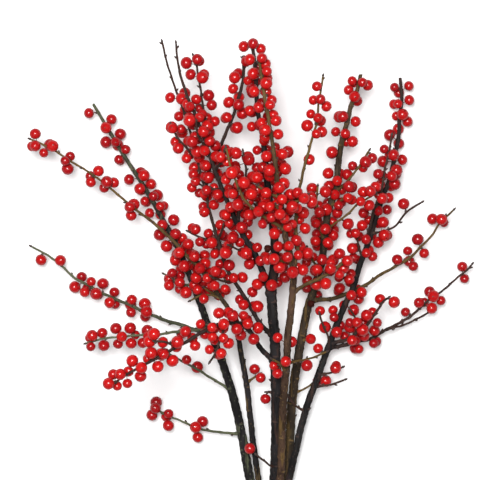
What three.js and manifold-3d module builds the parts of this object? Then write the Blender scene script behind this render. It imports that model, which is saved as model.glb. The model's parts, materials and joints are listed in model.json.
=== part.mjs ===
// A bunch of cut winterberry: six woody stems, each with its side twigs and stalked red berries,
// held together near the cut ends by a few turns of twine. The bunch lies on its side.
//
// Millimetres. +Y runs from the cut ends to the tips, +Z is up from the surface that the bunch
// lies on, and the origin is on that surface under the middle of the tie.
import * as THREE from "three";
import { mergeVertices } from "three/addons/utils/BufferGeometryUtils.js";
import Module from "manifold-3d";

const wasm = await Module();
wasm.setup();

// Driving dimensions
const BERRY_RADIUS = 4.7; // a ripe berry is 8 to 10.7 mm across
const BERRY_SPREAD = 0.14; // berries differ from the middle size by up to this share
const BERRY_FACET = 1.06; // corner radius of a faceted berry, as a share of the round one's radius
const STALK_ROOT = 0.8; // corner radius of a stalk's root, which is sunk in the wood
const STALK_SHARE = 0.75; // a root is no wider than this share of a thin twig
const STALK_SHORTEST = 0.5; // from the twig's bark to the berry's skin
const STALK_LONGEST = 2.2;
const LEAF_STEP = 12; // between neighbouring leaf scars, where the berries grow
const STEP_SPREAD = 0.15; // steps differ from the middle one by up to this share
const CLUSTER_LEAST = 0.6; // a cluster has at least this share of its stretch's most
const SHOOT_STEP = 19; // between the short fruiting shoots of a stem
const TIE_WIDTH = 10; // along the stems
const TIE_THICK = 2; // one turn of twine
const TIE_GAP = 0.35; // between the twine and the bark
const TIE_SIDES = 24;
const KNOT_RADIUS = 3;
const KNOT_FLAT = 0.75; // the knot's height, as a share of its width
const TWINE_ENDS = [
  [[0, 0, 22.6], [-6, 4, 23.2], [-12, 10, 22.4]],
  [[0, 0, 22.6], [6, 3.5, 23.2], [11, 10, 24.2]],
]; // from the knot
const NODE_GAP = 0.5; // least air between two stems' berries or bark
const FLOOR_GAP = 0.3; // least air under all but the three resting places
const SHOOT_SHORTEST = 16;
const SHOOT_LONGEST = 32;
const SHOOT_RADIUS = [1.1, 0.7]; // at the root and the tip
const SHOOT_FRUIT = [0.7, 2, 5]; // from and to, in points along the shoot, and the most at a scar
const SEED = 13;

// Sides of the faceted tubes
const LEAST_SIDES = 3; // a limb has one more for each millimetre of its root's radius
const STALK_SIDES = 3;

// How the berries and shoots are set out
const SPIRAL = (137.5 * Math.PI) / 180; // from one leaf scar to the next, round the twig
const FAN = (80 * Math.PI) / 180; // between neighbouring berries of one cluster
const SHOOT_TURN = (52 * Math.PI) / 180; // a shoot with no room moves round the stem by this
const BERRY_TURN = (15 * Math.PI) / 180; // a berry with no room moves to either side by this
const TRIES = 14;
const STRETCH = 0.12; // a stalk is longer by this at each further try
const LEAN = 0.55; // how far a shoot leans towards the twig's tip
const STALK_LEANS = [0.5, -0.15, 1.1]; // the leans that a stalk tries in turn
const TOUCH = 1; // neighbours on one stem come no closer than this share of their radii
const SHOOT_ROOM = 2; // room that a shoot wants round its bark, for its berries
const SHOOT_CLEAR = 0.6; // from here on, in points along the shoot
const SAMPLES = 8; // sample points for each span of a limb
const KEPT = 0.32; // even share of the berries that these solids carry
const SHOOTS_PER_KEPT = 2; // one in so many shoots is kept with its berries

// Each limb starts on its parent and runs through its points. radius lists its radii in even steps
// from the root to the tip. fruit lists the berried stretches: from and to, counted in points along
// the limb, and the most berries at one leaf scar. shoots is the stretch that carries short
// fruiting shoots.
const STEMS = {
  stem_left: [
    {
      name: "main",
      radius: [4.2, 4.1, 3.3, 2.2, 1.2],
      points: [
        [-11.1, -84, 6.8], [-9.5, -32, 6.6], [-9.45, 0, 6.5], [-13.4, 22, 7.6], [-19.1, 47, 9.4],
        [-25.7, 84, 13.4], [-33.2, 117, 17.1], [-42, 145, 20], [-51, 168, 22], [-60, 193, 23],
        [-70, 220, 23], [-81, 246, 22], [-96, 274, 20], [-111, 300, 17.5], [-131, 331, 14.6],
        [-144, 353, 13.8], [-156, 373, 13.6],
      ],
      fruit: [[9.6, 10, 3], [10.2, 12.2, 6], [12.5, 13.4, 5], [13.8, 15.3, 3], [15.6, 15.8, 1]],
      shoots: [9.6, 12.6],
    },
    {
      name: "low_twig",
      radius: [1.3, 0.7],
      points: [
        [-25, 84, 13], [-36, 83.5, 12.4], [-50, 85.5, 12], [-63, 87.5, 12], [-76, 93.5, 12.4],
        [-88, 98, 13], [-97, 103, 14], [-102, 105, 14.5],
      ],
      fruit: [[3, 3.4, 3], [5, 7, 4]],
    },
    {
      name: "bent_twig",
      radius: [1.2, 0.7],
      points: [[-34, 121, 17], [-56, 135.5, 24], [-73.5, 146, 29], [-86, 153, 33], [-93, 158.5, 36]],
      fruit: [[1.2, 1.5, 1], [1.9, 2.2, 1], [3.4, 4, 3]],
    },
    {
      name: "long_twig",
      radius: [1.7, 0.8],
      points: [
        [-51, 168, 22], [-72, 177, 19], [-92, 183, 17], [-110, 190, 16], [-127, 198, 15],
        [-142, 204, 14.5], [-157, 212, 14.5], [-173, 221, 15], [-187, 234, 16], [-199, 242, 17],
        [-210, 248, 18],
      ],
      fruit: [[1.2, 1.5, 1], [3, 4.2, 4], [4.6, 6, 5], [6.5, 7.2, 3], [8, 8.4, 1], [9, 9.6, 2]],
    },
    {
      name: "flat_twig",
      radius: [1.3, 0.7],
      points: [
        [-54, 176, 22.5], [-78.5, 174, 30], [-91.5, 172.5, 35], [-101.5, 171, 38],
        [-114.5, 171, 40], [-130, 170, 41], [-142.5, 168.5, 41], [-154, 166, 41],
        [-160.5, 164, 40],
      ],
      fruit: [[3.4, 5.6, 5], [6, 6.6, 3], [6.9, 8, 5]],
    },
    {
      name: "spur_twig",
      radius: [0.9, 0.6],
      points: [[-68, 214, 23], [-79, 215, 22], [-87.5, 220.5, 20], [-94, 224, 19]],
      fruit: [[1.6, 3, 5]],
    },
  ],
  stem_long: [
    {
      name: "main",
      radius: [2.6, 2.6, 1.9, 1.1, 0.7],
      points: [
        [-7, -76, 13.5], [-5.6, -30, 12.9], [-5.3, 0, 12.7], [-8, 22, 14.5], [-11.6, 49, 17],
        [-16.3, 83, 21.8], [-21, 126, 28.1], [-24.4, 145, 31], [-28, 166, 34], [-32, 182, 37],
        [-39, 197, 39], [-50, 212, 41], [-61, 228, 42], [-73, 240, 43], [-88, 256, 43],
        [-104, 270, 43], [-120, 282, 42], [-134, 294, 41], [-153, 309, 40], [-174, 322, 38],
        [-193, 334, 37], [-209, 341, 36],
      ],
      fruit: [
        [4.6, 4.8, 1], [10.6, 13.6, 3], [15.8, 16.3, 5], [17.3, 18.1, 6], [18.9, 19.4, 5],
        [19.8, 21, 5],
      ],
      shoots: [9.5, 12],
    },
    {
      name: "inner_twig",
      radius: [1.1, 0.7],
      points: [[-21.5, 129, 28.5], [-15, 133.5, 28], [-9.5, 137, 27]],
      fruit: [[1.2, 2, 3]],
    },
    {
      name: "over_twig",
      radius: [0.9, 0.6],
      points: [[-42.8, 202.6, 39.8], [-52, 206, 41.5], [-62, 205, 42], [-70, 201, 41]],
      fruit: [[1.7, 3, 5]],
    },
  ],
  stem_dark: [
    {
      name: "main",
      radius: [4.7, 4.8, 4.3, 2.3, 1.3],
      points: [
        [0.3, -90, 7.3], [0.3, -30, 7.1], [0.3, 0, 7.1], [1.7, 22, 11.3], [3.9, 49, 17.7],
        [4.8, 83, 25.4], [4.6, 118, 33.1], [3.8, 144, 38], [3, 170, 43], [1, 191, 47],
        [0.3, 211, 50], [3.2, 240, 54], [1.5, 263, 57], [-1.5, 285, 60], [-4, 306, 62],
        [-6.2, 330, 63], [-9, 348, 64], [-12.5, 368, 64], [-13.4, 391, 63], [-15, 410, 62],
        [-17.2, 423, 61],
      ],
      fruit: [[10.2, 11.1, 6], [13, 16, 3], [16.2, 19.6, 6]],
      shoots: [12.5, 15],
    },
    {
      name: "front_bough",
      radius: [2.3, 0.9],
      points: [
        [3.7, 148, 39], [-8.3, 159, 50], [-13, 167, 58], [-19, 176, 68], [-27, 183, 80],
        [-39.5, 184, 94], [-54.5, 179, 107], [-68.5, 171, 115], [-79.5, 165, 119],
        [-96.5, 155.5, 122], [-113, 147, 122], [-126.5, 138.5, 120], [-133, 133.5, 118],
      ],
      fruit: [[3, 12, 6]],
    },
    {
      name: "bough_spur",
      radius: [1, 0.8],
      points: [[-79.5, 165, 119], [-87.9, 169.6, 124], [-96.8, 170.5, 127]],
      fruit: [[0.6, 2, 6]],
    },
    {
      name: "hanging_twig",
      radius: [1.1, 0.7],
      points: [[-39.5, 184, 94], [-42.9, 171.7, 99], [-47, 160, 102], [-52, 152, 102]],
      fruit: [[0.8, 3, 6]],
    },
    {
      name: "left_limb",
      radius: [2.9, 2.2, 1.4, 0.8],
      points: [
        [0.4, 206, 49.5], [-8.3, 228, 54], [-16, 245, 58], [-23.6, 256, 61], [-32, 273, 65],
        [-39, 289, 68], [-46.6, 308, 71], [-53.3, 327, 73], [-61, 350, 74], [-69.5, 370, 74],
        [-76, 388, 73], [-79.7, 404, 72], [-81.4, 421, 71],
      ],
      fruit: [[0.6, 2.4, 6], [3, 5.6, 5], [5.8, 9.4, 6]],
      shoots: [2, 6.4],
    },
    {
      name: "leaning_twig",
      radius: [1.5, 0.8],
      points: [[-29.5, 268, 64], [-27, 281, 62], [-23.6, 297.5, 64], [-22, 313, 68], [-24.5, 329, 72]],
      fruit: [[0.8, 4, 5]],
    },
    {
      name: "short_tall_twig",
      radius: [1.1, 0.8],
      points: [
        [-57, 339, 73.5], [-56.8, 355, 70], [-58.4, 368, 68], [-61.4, 386, 67], [-63.5, 400, 66],
        [-67, 411, 65],
      ],
      fruit: [[1, 2.2, 5], [2.5, 3, 1], [3.3, 5, 5]],
    },
    {
      name: "black_limb",
      radius: [2, 1.5, 1.1, 0.8],
      points: [
        [3, 170, 43], [-6.7, 178, 42], [-15, 190, 43], [-22, 203, 44], [-32, 218, 46],
        [-39, 231, 47], [-44, 246, 48], [-49, 263, 49], [-54, 282, 50], [-57, 298, 51],
        [-62, 315, 52], [-67, 336, 53], [-73, 357, 53], [-80, 377, 53], [-86.5, 395, 52],
        [-91, 411, 51], [-94, 424, 50],
      ],
      fruit: [[2, 3.6, 4], [4, 7, 3], [7.8, 9.6, 5], [9.8, 13, 6]],
      shoots: [4, 7],
    },
    {
      name: "left_cluster_twig",
      radius: [1.1, 0.8],
      points: [[-63.7, 322, 52.3], [-71.4, 330.4, 62], [-79.8, 340.4, 66], [-85.8, 352.3, 68]],
      fruit: [[0.6, 3, 4]],
    },
    {
      name: "upper_cluster_twig",
      radius: [1.1, 0.8],
      points: [[-53.3, 327, 73], [-57.4, 332.9, 80], [-62.4, 342.8, 86], [-64, 353.5, 89]],
      fruit: [[0.7, 3, 6]],
    },
    {
      name: "crossing_twig",
      radius: [1.6, 1.3],
      points: [
        [-57, 298, 51], [-51, 321, 55], [-44, 334, 54], [-34.6, 356, 53], [-28, 376, 52],
        [-24, 395, 51], [-24, 412, 50],
      ],
      fruit: [[0.6, 1.3, 5], [2.8, 5.2, 6]],
    },
    {
      name: "back_twig",
      radius: [0.9, 0.6],
      points: [[-44, 246, 48], [-56, 254, 45], [-64, 257, 43], [-72, 261, 42]],
      fruit: [[1, 3, 3]],
    },
    {
      name: "bare_twig",
      radius: [0.8, 0.6],
      points: [[4.3, 55, 18], [-1, 57, 27], [-7, 62, 30], [-13, 67, 31]],
    },
    {
      name: "single_twig",
      radius: [0.8, 0.7],
      points: [[4.6, 119, 33], [-1, 121.5, 33.5], [-4, 121.5, 33.5]],
      fruit: [[1.6, 2, 1]],
    },
  ],
  stem_front: [
    {
      name: "main",
      radius: [3.2, 3.3, 2.9, 1.9, 1.1],
      points: [
        [2, -86, 16.4], [1.4, -30, 15.7], [1.2, 0, 15.6], [4, 22, 20.6], [8.5, 49, 27.4],
        [9.2, 83, 37], [10.6, 118, 47.2], [13, 148, 56], [13.6, 170, 64], [16, 191, 71],
        [17.5, 209, 77], [18.2, 227, 83], [14.8, 242, 88], [11.4, 255, 92], [9.6, 270, 96],
        [7.1, 286, 99], [4.1, 300, 102], [2.5, 317, 104], [0.4, 331, 105], [-3, 353, 106],
        [-6.7, 373, 106], [-8.8, 388, 105], [-11.2, 403, 104],
      ],
      fruit: [[7.7, 8.2, 3], [10.8, 13.2, 5], [13.4, 15.4, 6], [15.6, 18, 5], [18.4, 22, 6]],
      shoots: [11.4, 16.4],
    },
    {
      name: "stub_twig",
      radius: [1.5, 1.3],
      points: [[17.5, 209, 77], [28.4, 215.5, 76], [38.7, 220.5, 74], [51.5, 227, 72], [65, 239, 70]],
      fruit: [[2, 4, 6]],
    },
    {
      name: "low_side_twig",
      radius: [1.1, 0.7],
      points: [[13, 148, 56], [24, 149.5, 50], [37, 152.5, 44], [48, 157, 41]],
      fruit: [[0.9, 1.2, 1], [2.6, 3, 1]],
    },
    {
      name: "low_cluster_twig",
      radius: [1.1, 0.8],
      points: [[12.4, 140.5, 53.8], [7.2, 147.6, 62], [0.2, 152.2, 67]],
      fruit: [[0.8, 2, 6]],
    },
    {
      name: "tall_twig",
      radius: [1.6, 0.7],
      points: [
        [18, 231, 84], [21.5, 247, 84], [20, 270, 82], [22, 290, 80], [24.5, 303, 79],
        [29.7, 324, 77], [34, 339, 76], [38, 352.5, 75], [39.2, 365, 74], [41.8, 382, 73],
        [43.5, 393, 72],
      ],
      fruit: [[0.8, 3.6, 5], [5, 5.3, 1], [6.3, 8.4, 5], [8.8, 9.4, 1]],
    },
    {
      name: "near_twig",
      radius: [1.4, 0.8],
      points: [
        [10.5, 262, 94], [-2, 270, 102], [-14.5, 278, 108], [-24.5, 289, 112], [-31, 303, 115],
        [-35.5, 317, 116], [-38.6, 330, 115],
      ],
      fruit: [[1, 6, 6]],
    },
    {
      name: "near_spur",
      radius: [1.1, 0.8],
      points: [[7.1, 286, 99], [14.6, 285, 107], [22.5, 286, 113], [29, 291, 116]],
      fruit: [[0.9, 3, 6]],
    },
  ],
  stem_middle: [
    {
      name: "main",
      radius: [3.9, 4, 3.4, 2.7, 1.6],
      points: [
        [11, -80, 6.6], [9.7, -30, 6.3], [9.5, 0, 6.3], [11.8, 22, 7.8], [14.9, 47, 9.9],
        [16.9, 82, 13.2], [18.3, 108, 16.1], [20.6, 130, 19], [24, 152, 22], [26.4, 166, 24],
        [30.6, 188, 27], [34, 201, 29], [39.6, 218, 31], [44, 235, 33], [46, 251, 35],
        [48.3, 273, 37], [51.7, 285, 38], [56, 298, 39], [57.6, 315, 40], [59.3, 329, 40],
        [61.8, 342, 40], [65.8, 356, 40], [69.5, 371, 39], [74.6, 384, 38], [77.6, 397, 37],
      ],
      fruit: [
        [11, 13, 3], [13.2, 15.2, 5], [15.6, 18.2, 6], [18.6, 19.2, 3], [20, 21, 4],
        [22.4, 23.5, 5],
      ],
      shoots: [11.4, 16.4],
    },
    {
      name: "right_bough",
      radius: [1.9, 0.8],
      points: [
        [34, 201, 29], [51, 202, 25], [64, 205.5, 22], [75.5, 210.5, 20.5], [88.5, 217.5, 19],
        [95.5, 223, 18.5], [109.5, 230.5, 18], [121, 237.5, 18], [129.5, 245.5, 18.5],
        [140, 256.5, 19], [148, 268, 19.5], [160, 280, 20],
      ],
      fruit: [[1.8, 3.6, 4], [5.9, 6.3, 1], [7, 8.6, 4], [10, 10.6, 4]],
    },
    {
      name: "budded_twig",
      radius: [1.1, 0.7],
      points: [[55, 295, 39], [64.5, 303, 44], [72, 312, 48], [80, 324, 51], [84, 330.5, 53]],
      fruit: [[0.7, 1.7, 5], [2.2, 3.1, 3]],
    },
    {
      name: "thin_twig",
      radius: [0.9, 0.6],
      points: [[47, 262, 36], [62, 273, 50], [75, 285, 57], [81, 288.5, 59], [88.5, 293, 61]],
      fruit: [[0.8, 1.2, 1], [2.4, 4, 5]],
    },
    {
      name: "short_twig",
      radius: [0.9, 0.7],
      points: [[26, 165, 24], [32.3, 168, 30], [36, 169, 33]],
      fruit: [[1.7, 2, 1]],
    },
    {
      name: "under_twig",
      radius: [0.9, 0.7],
      points: [[19.3, 119, 17.5], [30, 123, 14], [39, 130, 12.5], [44.5, 136, 12]],
      fruit: [[2.2, 2.8, 3]],
    },
    {
      name: "upright_twig",
      radius: [1.1, 0.7],
      points: [[46, 253, 35], [41, 268, 44], [39, 285, 50], [39.8, 300, 54]],
      fruit: [[1, 3, 5]],
    },
  ],
  stem_right: [
    {
      name: "main",
      radius: [3.15, 3.05, 2.7, 2.2, 1.4],
      points: [
        [9.2, -72, 14.3], [8.2, -30, 14], [8, 0, 13.8], [11.6, 22, 15.6], [16.7, 47, 17.5],
        [22.6, 73, 19.7], [27.7, 95, 21.4], [34.4, 117, 23.1], [39.5, 130, 24.6], [43.8, 143, 26],
        [50.7, 162, 28], [55.8, 176, 29], [63.5, 195.5, 30], [68.7, 206, 30.5], [73, 217, 30.5],
        [77.3, 232, 30], [81.6, 243, 29], [86, 255, 27.5], [92, 274, 25], [98.4, 293, 22],
        [103.8, 306, 20], [107.6, 322, 17.5], [112, 343, 14.8], [113, 359.5, 14],
        [115, 378, 13.8], [113.6, 396, 13.6],
      ],
      fruit: [
        [11, 14, 3], [15, 18.6, 3], [19.4, 21.6, 5], [21.8, 22.3, 3], [23, 23.9, 6],
        [24.3, 24.8, 4],
      ],
      shoots: [12.6, 16.4],
    },
    {
      name: "side_limb",
      radius: [1.5, 0.7],
      points: [
        [83.5, 248, 28.5], [85.5, 264, 35], [90, 282.5, 38], [95.5, 295.5, 38], [98, 312.5, 37],
        [102, 328, 35], [105, 345, 32],
      ],
      fruit: [[0.8, 2.6, 2], [2.8, 4, 4], [5, 5.6, 3]],
    },
    {
      name: "budded_twig",
      radius: [1, 0.6],
      points: [[87.4, 259.3, 27], [97, 261, 31], [109, 266.5, 33], [117, 277.5, 35], [131, 286.5, 36]],
      fruit: [[0.8, 1.6, 5], [2.9, 3.2, 1]],
    },
    {
      name: "right_bough",
      radius: [1.7, 0.7],
      points: [
        [50, 160, 28], [64, 161.5, 24], [77, 165, 21], [88.5, 167.5, 19], [99.5, 174, 18],
        [116.5, 183, 17], [123.5, 187, 17], [136.5, 199.5, 17], [150, 208.5, 17],
        [162, 219.5, 17], [171.5, 226.5, 17], [176.5, 232.5, 17],
      ],
      fruit: [[0.8, 1.2, 1], [1.8, 3.8, 5], [5.8, 7, 3], [7.4, 8.2, 5], [9.6, 10.3, 3]],
    },
    {
      name: "bare_fork",
      radius: [0.9, 0.6],
      points: [[101, 175, 18], [119.5, 180, 13.5], [133, 186.5, 12.5], [138, 189.5, 12.5]],
    },
    {
      name: "rising_bough",
      radius: [1.6, 0.9],
      points: [
        [51, 163, 28], [68, 168, 33], [76, 175, 37], [84.5, 182, 40], [90.5, 191, 43],
        [96, 200, 46], [101, 204, 48],
      ],
      fruit: [[1, 3.8, 5], [4.6, 5, 1], [5.8, 6, 1]],
    },
    {
      name: "rising_spur",
      radius: [1, 0.8],
      points: [[76, 175, 37], [73, 185, 45], [67.5, 194, 49]],
      fruit: [[0.8, 2, 6]],
    },
    {
      name: "bare_side_twig",
      radius: [1, 0.8],
      points: [[37.7, 125.5, 24], [52.5, 127, 22], [65, 131.5, 21]],
    },
    {
      name: "fine_side_twig",
      radius: [0.8, 0.6],
      points: [[41.5, 136, 25.2], [52.5, 138, 28], [62.5, 143, 30]],
      fruit: [[1.6, 2, 2]],
    },
    {
      name: "curved_twig",
      radius: [0.8, 0.7],
      points: [[50.7, 163, 28], [49.5, 170, 36], [44.5, 180, 42], [41.5, 190, 46]],
      fruit: [[2.7, 3, 1]],
    },
    {
      name: "fine_cross_twig",
      radius: [0.8, 0.6],
      points: [[30.1, 103.6, 21.8], [21, 109.5, 26], [14.5, 118, 28]],
    },
    {
      name: "left_spur",
      radius: [1, 0.8],
      points: [[71.5, 213, 30.5], [65, 219, 38], [60.5, 223.5, 42]],
      fruit: [[0.9, 2, 5]],
    },
  ],
};

// The two berries that the bunch lies on, with the tie: the stem and the height along it.
const RESTING = { stem_left: 337, stem_right: 350 };

const UP = new THREE.Vector3(0, 0, 1);
const DOWN = new THREE.Vector3(0, 0, -1);
const GOLDEN = (1 + Math.sqrt(5)) / 2;
const FACE_WAY = new THREE.Vector3(1, 1, 1).normalize(); // out of the middle of a face
const CONE_WAY = new THREE.Vector3(0, 1, 0);
const CORNER_WAY = new THREE.Vector3(-1, GOLDEN, 0).normalize(); // out of a corner

// A repeatable stream of numbers from 0 to 1
function makeRandom(seed) {
  let state = seed;
  return () => {
    state = (state + 0x6d2b79f5) | 0;
    let mixed = Math.imul(state ^ (state >>> 15), 1 | state);
    mixed = (mixed + Math.imul(mixed ^ (mixed >>> 7), 61 | mixed)) ^ mixed;
    return ((mixed ^ (mixed >>> 14)) >>> 0) / 4294967296;
  };
}

const random = makeRandom(SEED);

// Everything that takes up room so far, as balls: where, how big, and which stem it belongs to
const taken = [];

// Two directions across a limb: to its side, and over it
function crossways(along) {
  const across = new THREE.Vector3().crossVectors(along, UP).normalize();
  const over = new THREE.Vector3().crossVectors(across, along);
  return { across, over };
}

function curveOf(limb) {
  const points = limb.points.map((point) => new THREE.Vector3(...point));
  return new THREE.CatmullRomCurve3(points, false, "catmullrom", 0.5);
}

// A limb's radius at a share of its length
function thickness({ radius }, share) {
  const place = share * (radius.length - 1);
  const step = Math.min(Math.floor(place), radius.length - 2);
  return THREE.MathUtils.lerp(radius[step], radius[step + 1], place - step);
}

// The limb's centre line with its direction and radius, sampled evenly between its points
function sampleLimb(limb) {
  const curve = curveOf(limb);
  const spans = limb.points.length - 1;
  const steps = spans * SAMPLES;
  const samples = [];
  let length = 0;
  for (let step = 0; step <= steps; step += 1) {
    const share = step / steps;
    const at = curve.getPoint(share);
    length += step > 0 ? at.distanceTo(samples[step - 1].at) : 0;
    const along = curve.getTangent(share);
    const radius = thickness(limb, share);
    samples.push({ at, along, radius, length, span: share * spans });
  }
  return samples;
}

// Whether a ball has room: balls of one stem may touch, and other stems keep their distance
function hasRoom(stem, at, radius) {
  if (at.z < radius + FLOOR_GAP) return false;
  return taken.every((ball) => {
    const apart = ball.at.distanceTo(at);
    const reach = ball.radius + radius;
    return apart > (ball.stem === stem ? reach * TOUCH : reach + NODE_GAP);
  });
}

// The direction that leaves a limb at an angle round it and leans towards the limb's tip
function wayOut(sample, angle, lean) {
  const { across, over } = crossways(sample.along);
  return new THREE.Vector3()
    .addScaledVector(across, Math.cos(angle))
    .addScaledVector(over, Math.sin(angle))
    .addScaledVector(sample.along, lean)
    .normalize();
}

// A short fruiting shoot that leaves its stem, bends a little towards the stem's tip and has room
function growShoot(stem, sample, turn) {
  const length = THREE.MathUtils.lerp(SHOOT_SHORTEST, SHOOT_LONGEST, random());
  for (let attempt = 0; attempt < TRIES; attempt += 1) {
    const angle = turn + attempt * SHOOT_TURN;
    const first = wayOut(sample, angle, LEAN);
    const second = wayOut(sample, angle, LEAN * 2);
    const middle = sample.at.clone().addScaledVector(first, length / 2);
    const tip = middle.clone().addScaledVector(second, length / 2);
    const points = [sample.at.toArray(), middle.toArray(), tip.toArray()];
    const shoot = { points, radius: SHOOT_RADIUS, fruit: [SHOOT_FRUIT] };
    const outer = sampleLimb(shoot).filter((point) => point.span > SHOOT_CLEAR);
    if (outer.every((point) => hasRoom(stem, point.at, point.radius + SHOOT_ROOM))) return shoot;
  }
  return null;
}

// The shoots of one limb, spiralling round it
function growShoots(stem, limb) {
  const [from, to] = limb.shoots;
  const samples = sampleLimb(limb).filter(({ span }) => span >= from && span <= to);
  const shoots = [];
  let next = samples[0].length;
  for (const sample of samples) {
    if (sample.length >= next) {
      const shoot = growShoot(stem, sample, (shoots.length + 1) * SPIRAL);
      if (shoot) {
        shoots.push({ ...shoot, spare: shoots.length % SHOOTS_PER_KEPT > 0 });
        takeRoom(stem, shoot);
      }
      next += SHOOT_STEP;
    }
  }
  return shoots;
}

function takeRoom(stem, limb) {
  sampleLimb(limb).forEach(({ at, radius }) => taken.push({ at, radius, stem }));
}

// A berry on its stalk, where there is room for it
function placeBerry(stem, sample, angle) {
  const radius = BERRY_RADIUS * (1 + BERRY_SPREAD * (2 * random() - 1));
  const stalk = THREE.MathUtils.lerp(STALK_SHORTEST, STALK_LONGEST, random());
  const outer = radius * BERRY_FACET;
  for (let attempt = 0; attempt < TRIES; attempt += 1) {
    const lean = STALK_LEANS[attempt % STALK_LEANS.length];
    const aside = Math.ceil(attempt / 2) * (attempt % 2 ? BERRY_TURN : -BERRY_TURN);
    const way = wayOut(sample, angle + aside, lean);
    const reach = sample.radius + stalk + attempt * STRETCH + radius;
    const at = sample.at.clone().addScaledVector(way, reach);
    if (hasRoom(stem, at, outer)) {
      taken.push({ at, radius: outer, stem });
      return { at, radius, root: sample, facing: FACE_WAY, way: way.negate() };
    }
  }
  return null;
}

// The berries of one limb: a cluster at each leaf scar of its fruited stretches. The clusters
// climb round the limb in a spiral, and the cluster nearest to the tip is always kept.
function placeBerries(stem, limb) {
  const samples = sampleLimb(limb);
  const berries = [];
  const start = 2 * Math.PI * random();
  const end = Math.max(...limb.fruit.map(([, to]) => to));
  const last = samples.findLast(({ span }) => span <= end).length;
  let scars = 0;
  for (const [from, to, most] of limb.fruit) {
    const stretch = samples.filter(({ span }) => span >= from && span <= to);
    let next = stretch[0].length;
    for (const sample of stretch) {
      if (sample.length < next) continue;
      const share = THREE.MathUtils.lerp(CLUSTER_LEAST, 1, random());
      const count = Math.max(1, Math.round(most * share));
      const turn = start + scars * SPIRAL;
      scars += 1;
      for (let place = 0; place < count; place += 1) {
        const berry = placeBerry(stem, sample, turn + (place - (count - 1) / 2) * FAN);
        const atTip = limb.name && place === 0 && sample.length + LEAF_STEP > last;
        if (berry) berries.push({ ...berry, atTip, spare: limb.spare });
      }
      next = sample.length + LEAF_STEP * (1 + STEP_SPREAD * (2 * random() - 1));
    }
  }
  return berries;
}

// A berry that the bunch lies on: it hangs straight down from the stem, one corner on the surface
function placeRestingBerry(stem, limb) {
  const sample = sampleLimb(limb).find(({ at }) => at.y >= RESTING[stem]);
  const height = BERRY_RADIUS * BERRY_FACET;
  const at = new THREE.Vector3(sample.at.x, sample.at.y, height);
  taken.push({ at, radius: height, stem });
  return { at, radius: BERRY_RADIUS, root: sample, facing: CORNER_WAY, way: DOWN, atTip: true };
}

// A closed solid from one of three's geometries
function toSolid(geometry) {
  geometry.deleteAttribute("normal");
  geometry.deleteAttribute("uv");
  const merged = mergeVertices(geometry, 1e-5);
  const vertProperties = new Float32Array(merged.attributes.position.array);
  const triVerts = new Uint32Array(merged.index.array);
  return new wasm.Manifold(new wasm.Mesh({ numProp: 3, vertProperties, triVerts }));
}

// A limb's wood: a tapering many-sided tube, bent along the limb's centre line
function woodSolid(limb) {
  const curve = curveOf(limb);
  const rings = limb.points.length - 1;
  const sides = LEAST_SIDES + Math.round(limb.radius[0]);
  const tube = new THREE.CylinderGeometry(1, 1, 1, sides, rings);
  const place = tube.attributes.position;
  for (let corner = 0; corner < place.count; corner += 1) {
    const share = place.getY(corner) + 0.5;
    const { across, over } = crossways(curve.getTangent(share));
    const radius = thickness(limb, share);
    const at = curve
      .getPoint(share)
      .addScaledVector(across, place.getX(corner) * radius)
      .addScaledVector(over, place.getZ(corner) * radius);
    place.setXYZ(corner, at.x, at.y, at.z);
  }
  return toSolid(tube);
}

// A faceted berry and its stalk, which tapers from its root in the wood to the berry's inside
function berrySolids({ at, radius, root, facing, way }) {
  const berry = new THREE.IcosahedronGeometry(radius * BERRY_FACET, 0);
  berry.applyQuaternion(new THREE.Quaternion().setFromUnitVectors(facing, way));
  berry.translate(at.x, at.y, at.z);
  const toBerry = at.clone().sub(root.at).normalize();
  const length = at.distanceTo(root.at) + radius / 2;
  const thick = Math.min(STALK_ROOT, root.radius * STALK_SHARE);
  const stalk = new THREE.ConeGeometry(thick, length, STALK_SIDES);
  stalk.applyQuaternion(new THREE.Quaternion().setFromUnitVectors(CONE_WAY, toBerry));
  const middle = root.at.clone().addScaledVector(toBerry, length / 2);
  stalk.translate(middle.x, middle.y, middle.z);
  return [toSolid(berry), toSolid(stalk)];
}

// A solid as a flat-shaded mesh
function toMesh(name, solid, material) {
  const { vertProperties, triVerts } = solid.getMesh();
  const geometry = new THREE.BufferGeometry();
  geometry.setAttribute("position", new THREE.BufferAttribute(vertProperties, 3));
  geometry.setIndex(new THREE.BufferAttribute(triVerts, 1));
  const flat = geometry.toNonIndexed();
  flat.computeVertexNormals();
  const mesh = new THREE.Mesh(flat, material);
  mesh.name = name;
  return mesh;
}

const fruited = new THREE.MeshStandardMaterial({ color: 0xc41a22, roughness: 0.35, metalness: 0 });
const twine = new THREE.MeshStandardMaterial({ color: 0xb99a6b, roughness: 0.9, metalness: 0 });

const stems = Object.entries(STEMS).map(([name, limbs]) => ({ name, limbs: [...limbs] }));
for (const { name, limbs } of stems) {
  limbs.forEach((limb) => takeRoom(name, limb));
}
for (const { name, limbs } of stems) {
  const branching = limbs.filter((limb) => limb.shoots);
  branching.forEach((limb) => limbs.push(...growShoots(name, limb)));
}
for (const stem of stems) {
  stem.berries = stem.name in RESTING ? [placeRestingBerry(stem.name, stem.limbs[0])] : [];
}
for (const { name, limbs, berries } of stems) {
  const bearing = limbs.filter((limb) => limb.fruit);
  bearing.forEach((limb) => berries.push(...placeBerries(name, limb)));
}

// How far the stems reach from the tie's axis in a direction across it
function bundleReach(direction) {
  const inTie = stems.flatMap(({ limbs }) => sampleLimb(limbs[0]));
  const near = inTie.filter(({ at }) => Math.abs(at.y) < TIE_WIDTH);
  return Math.max(...near.map(({ at, radius }) => at.x * direction.x + at.z * direction.y + radius));
}

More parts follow.
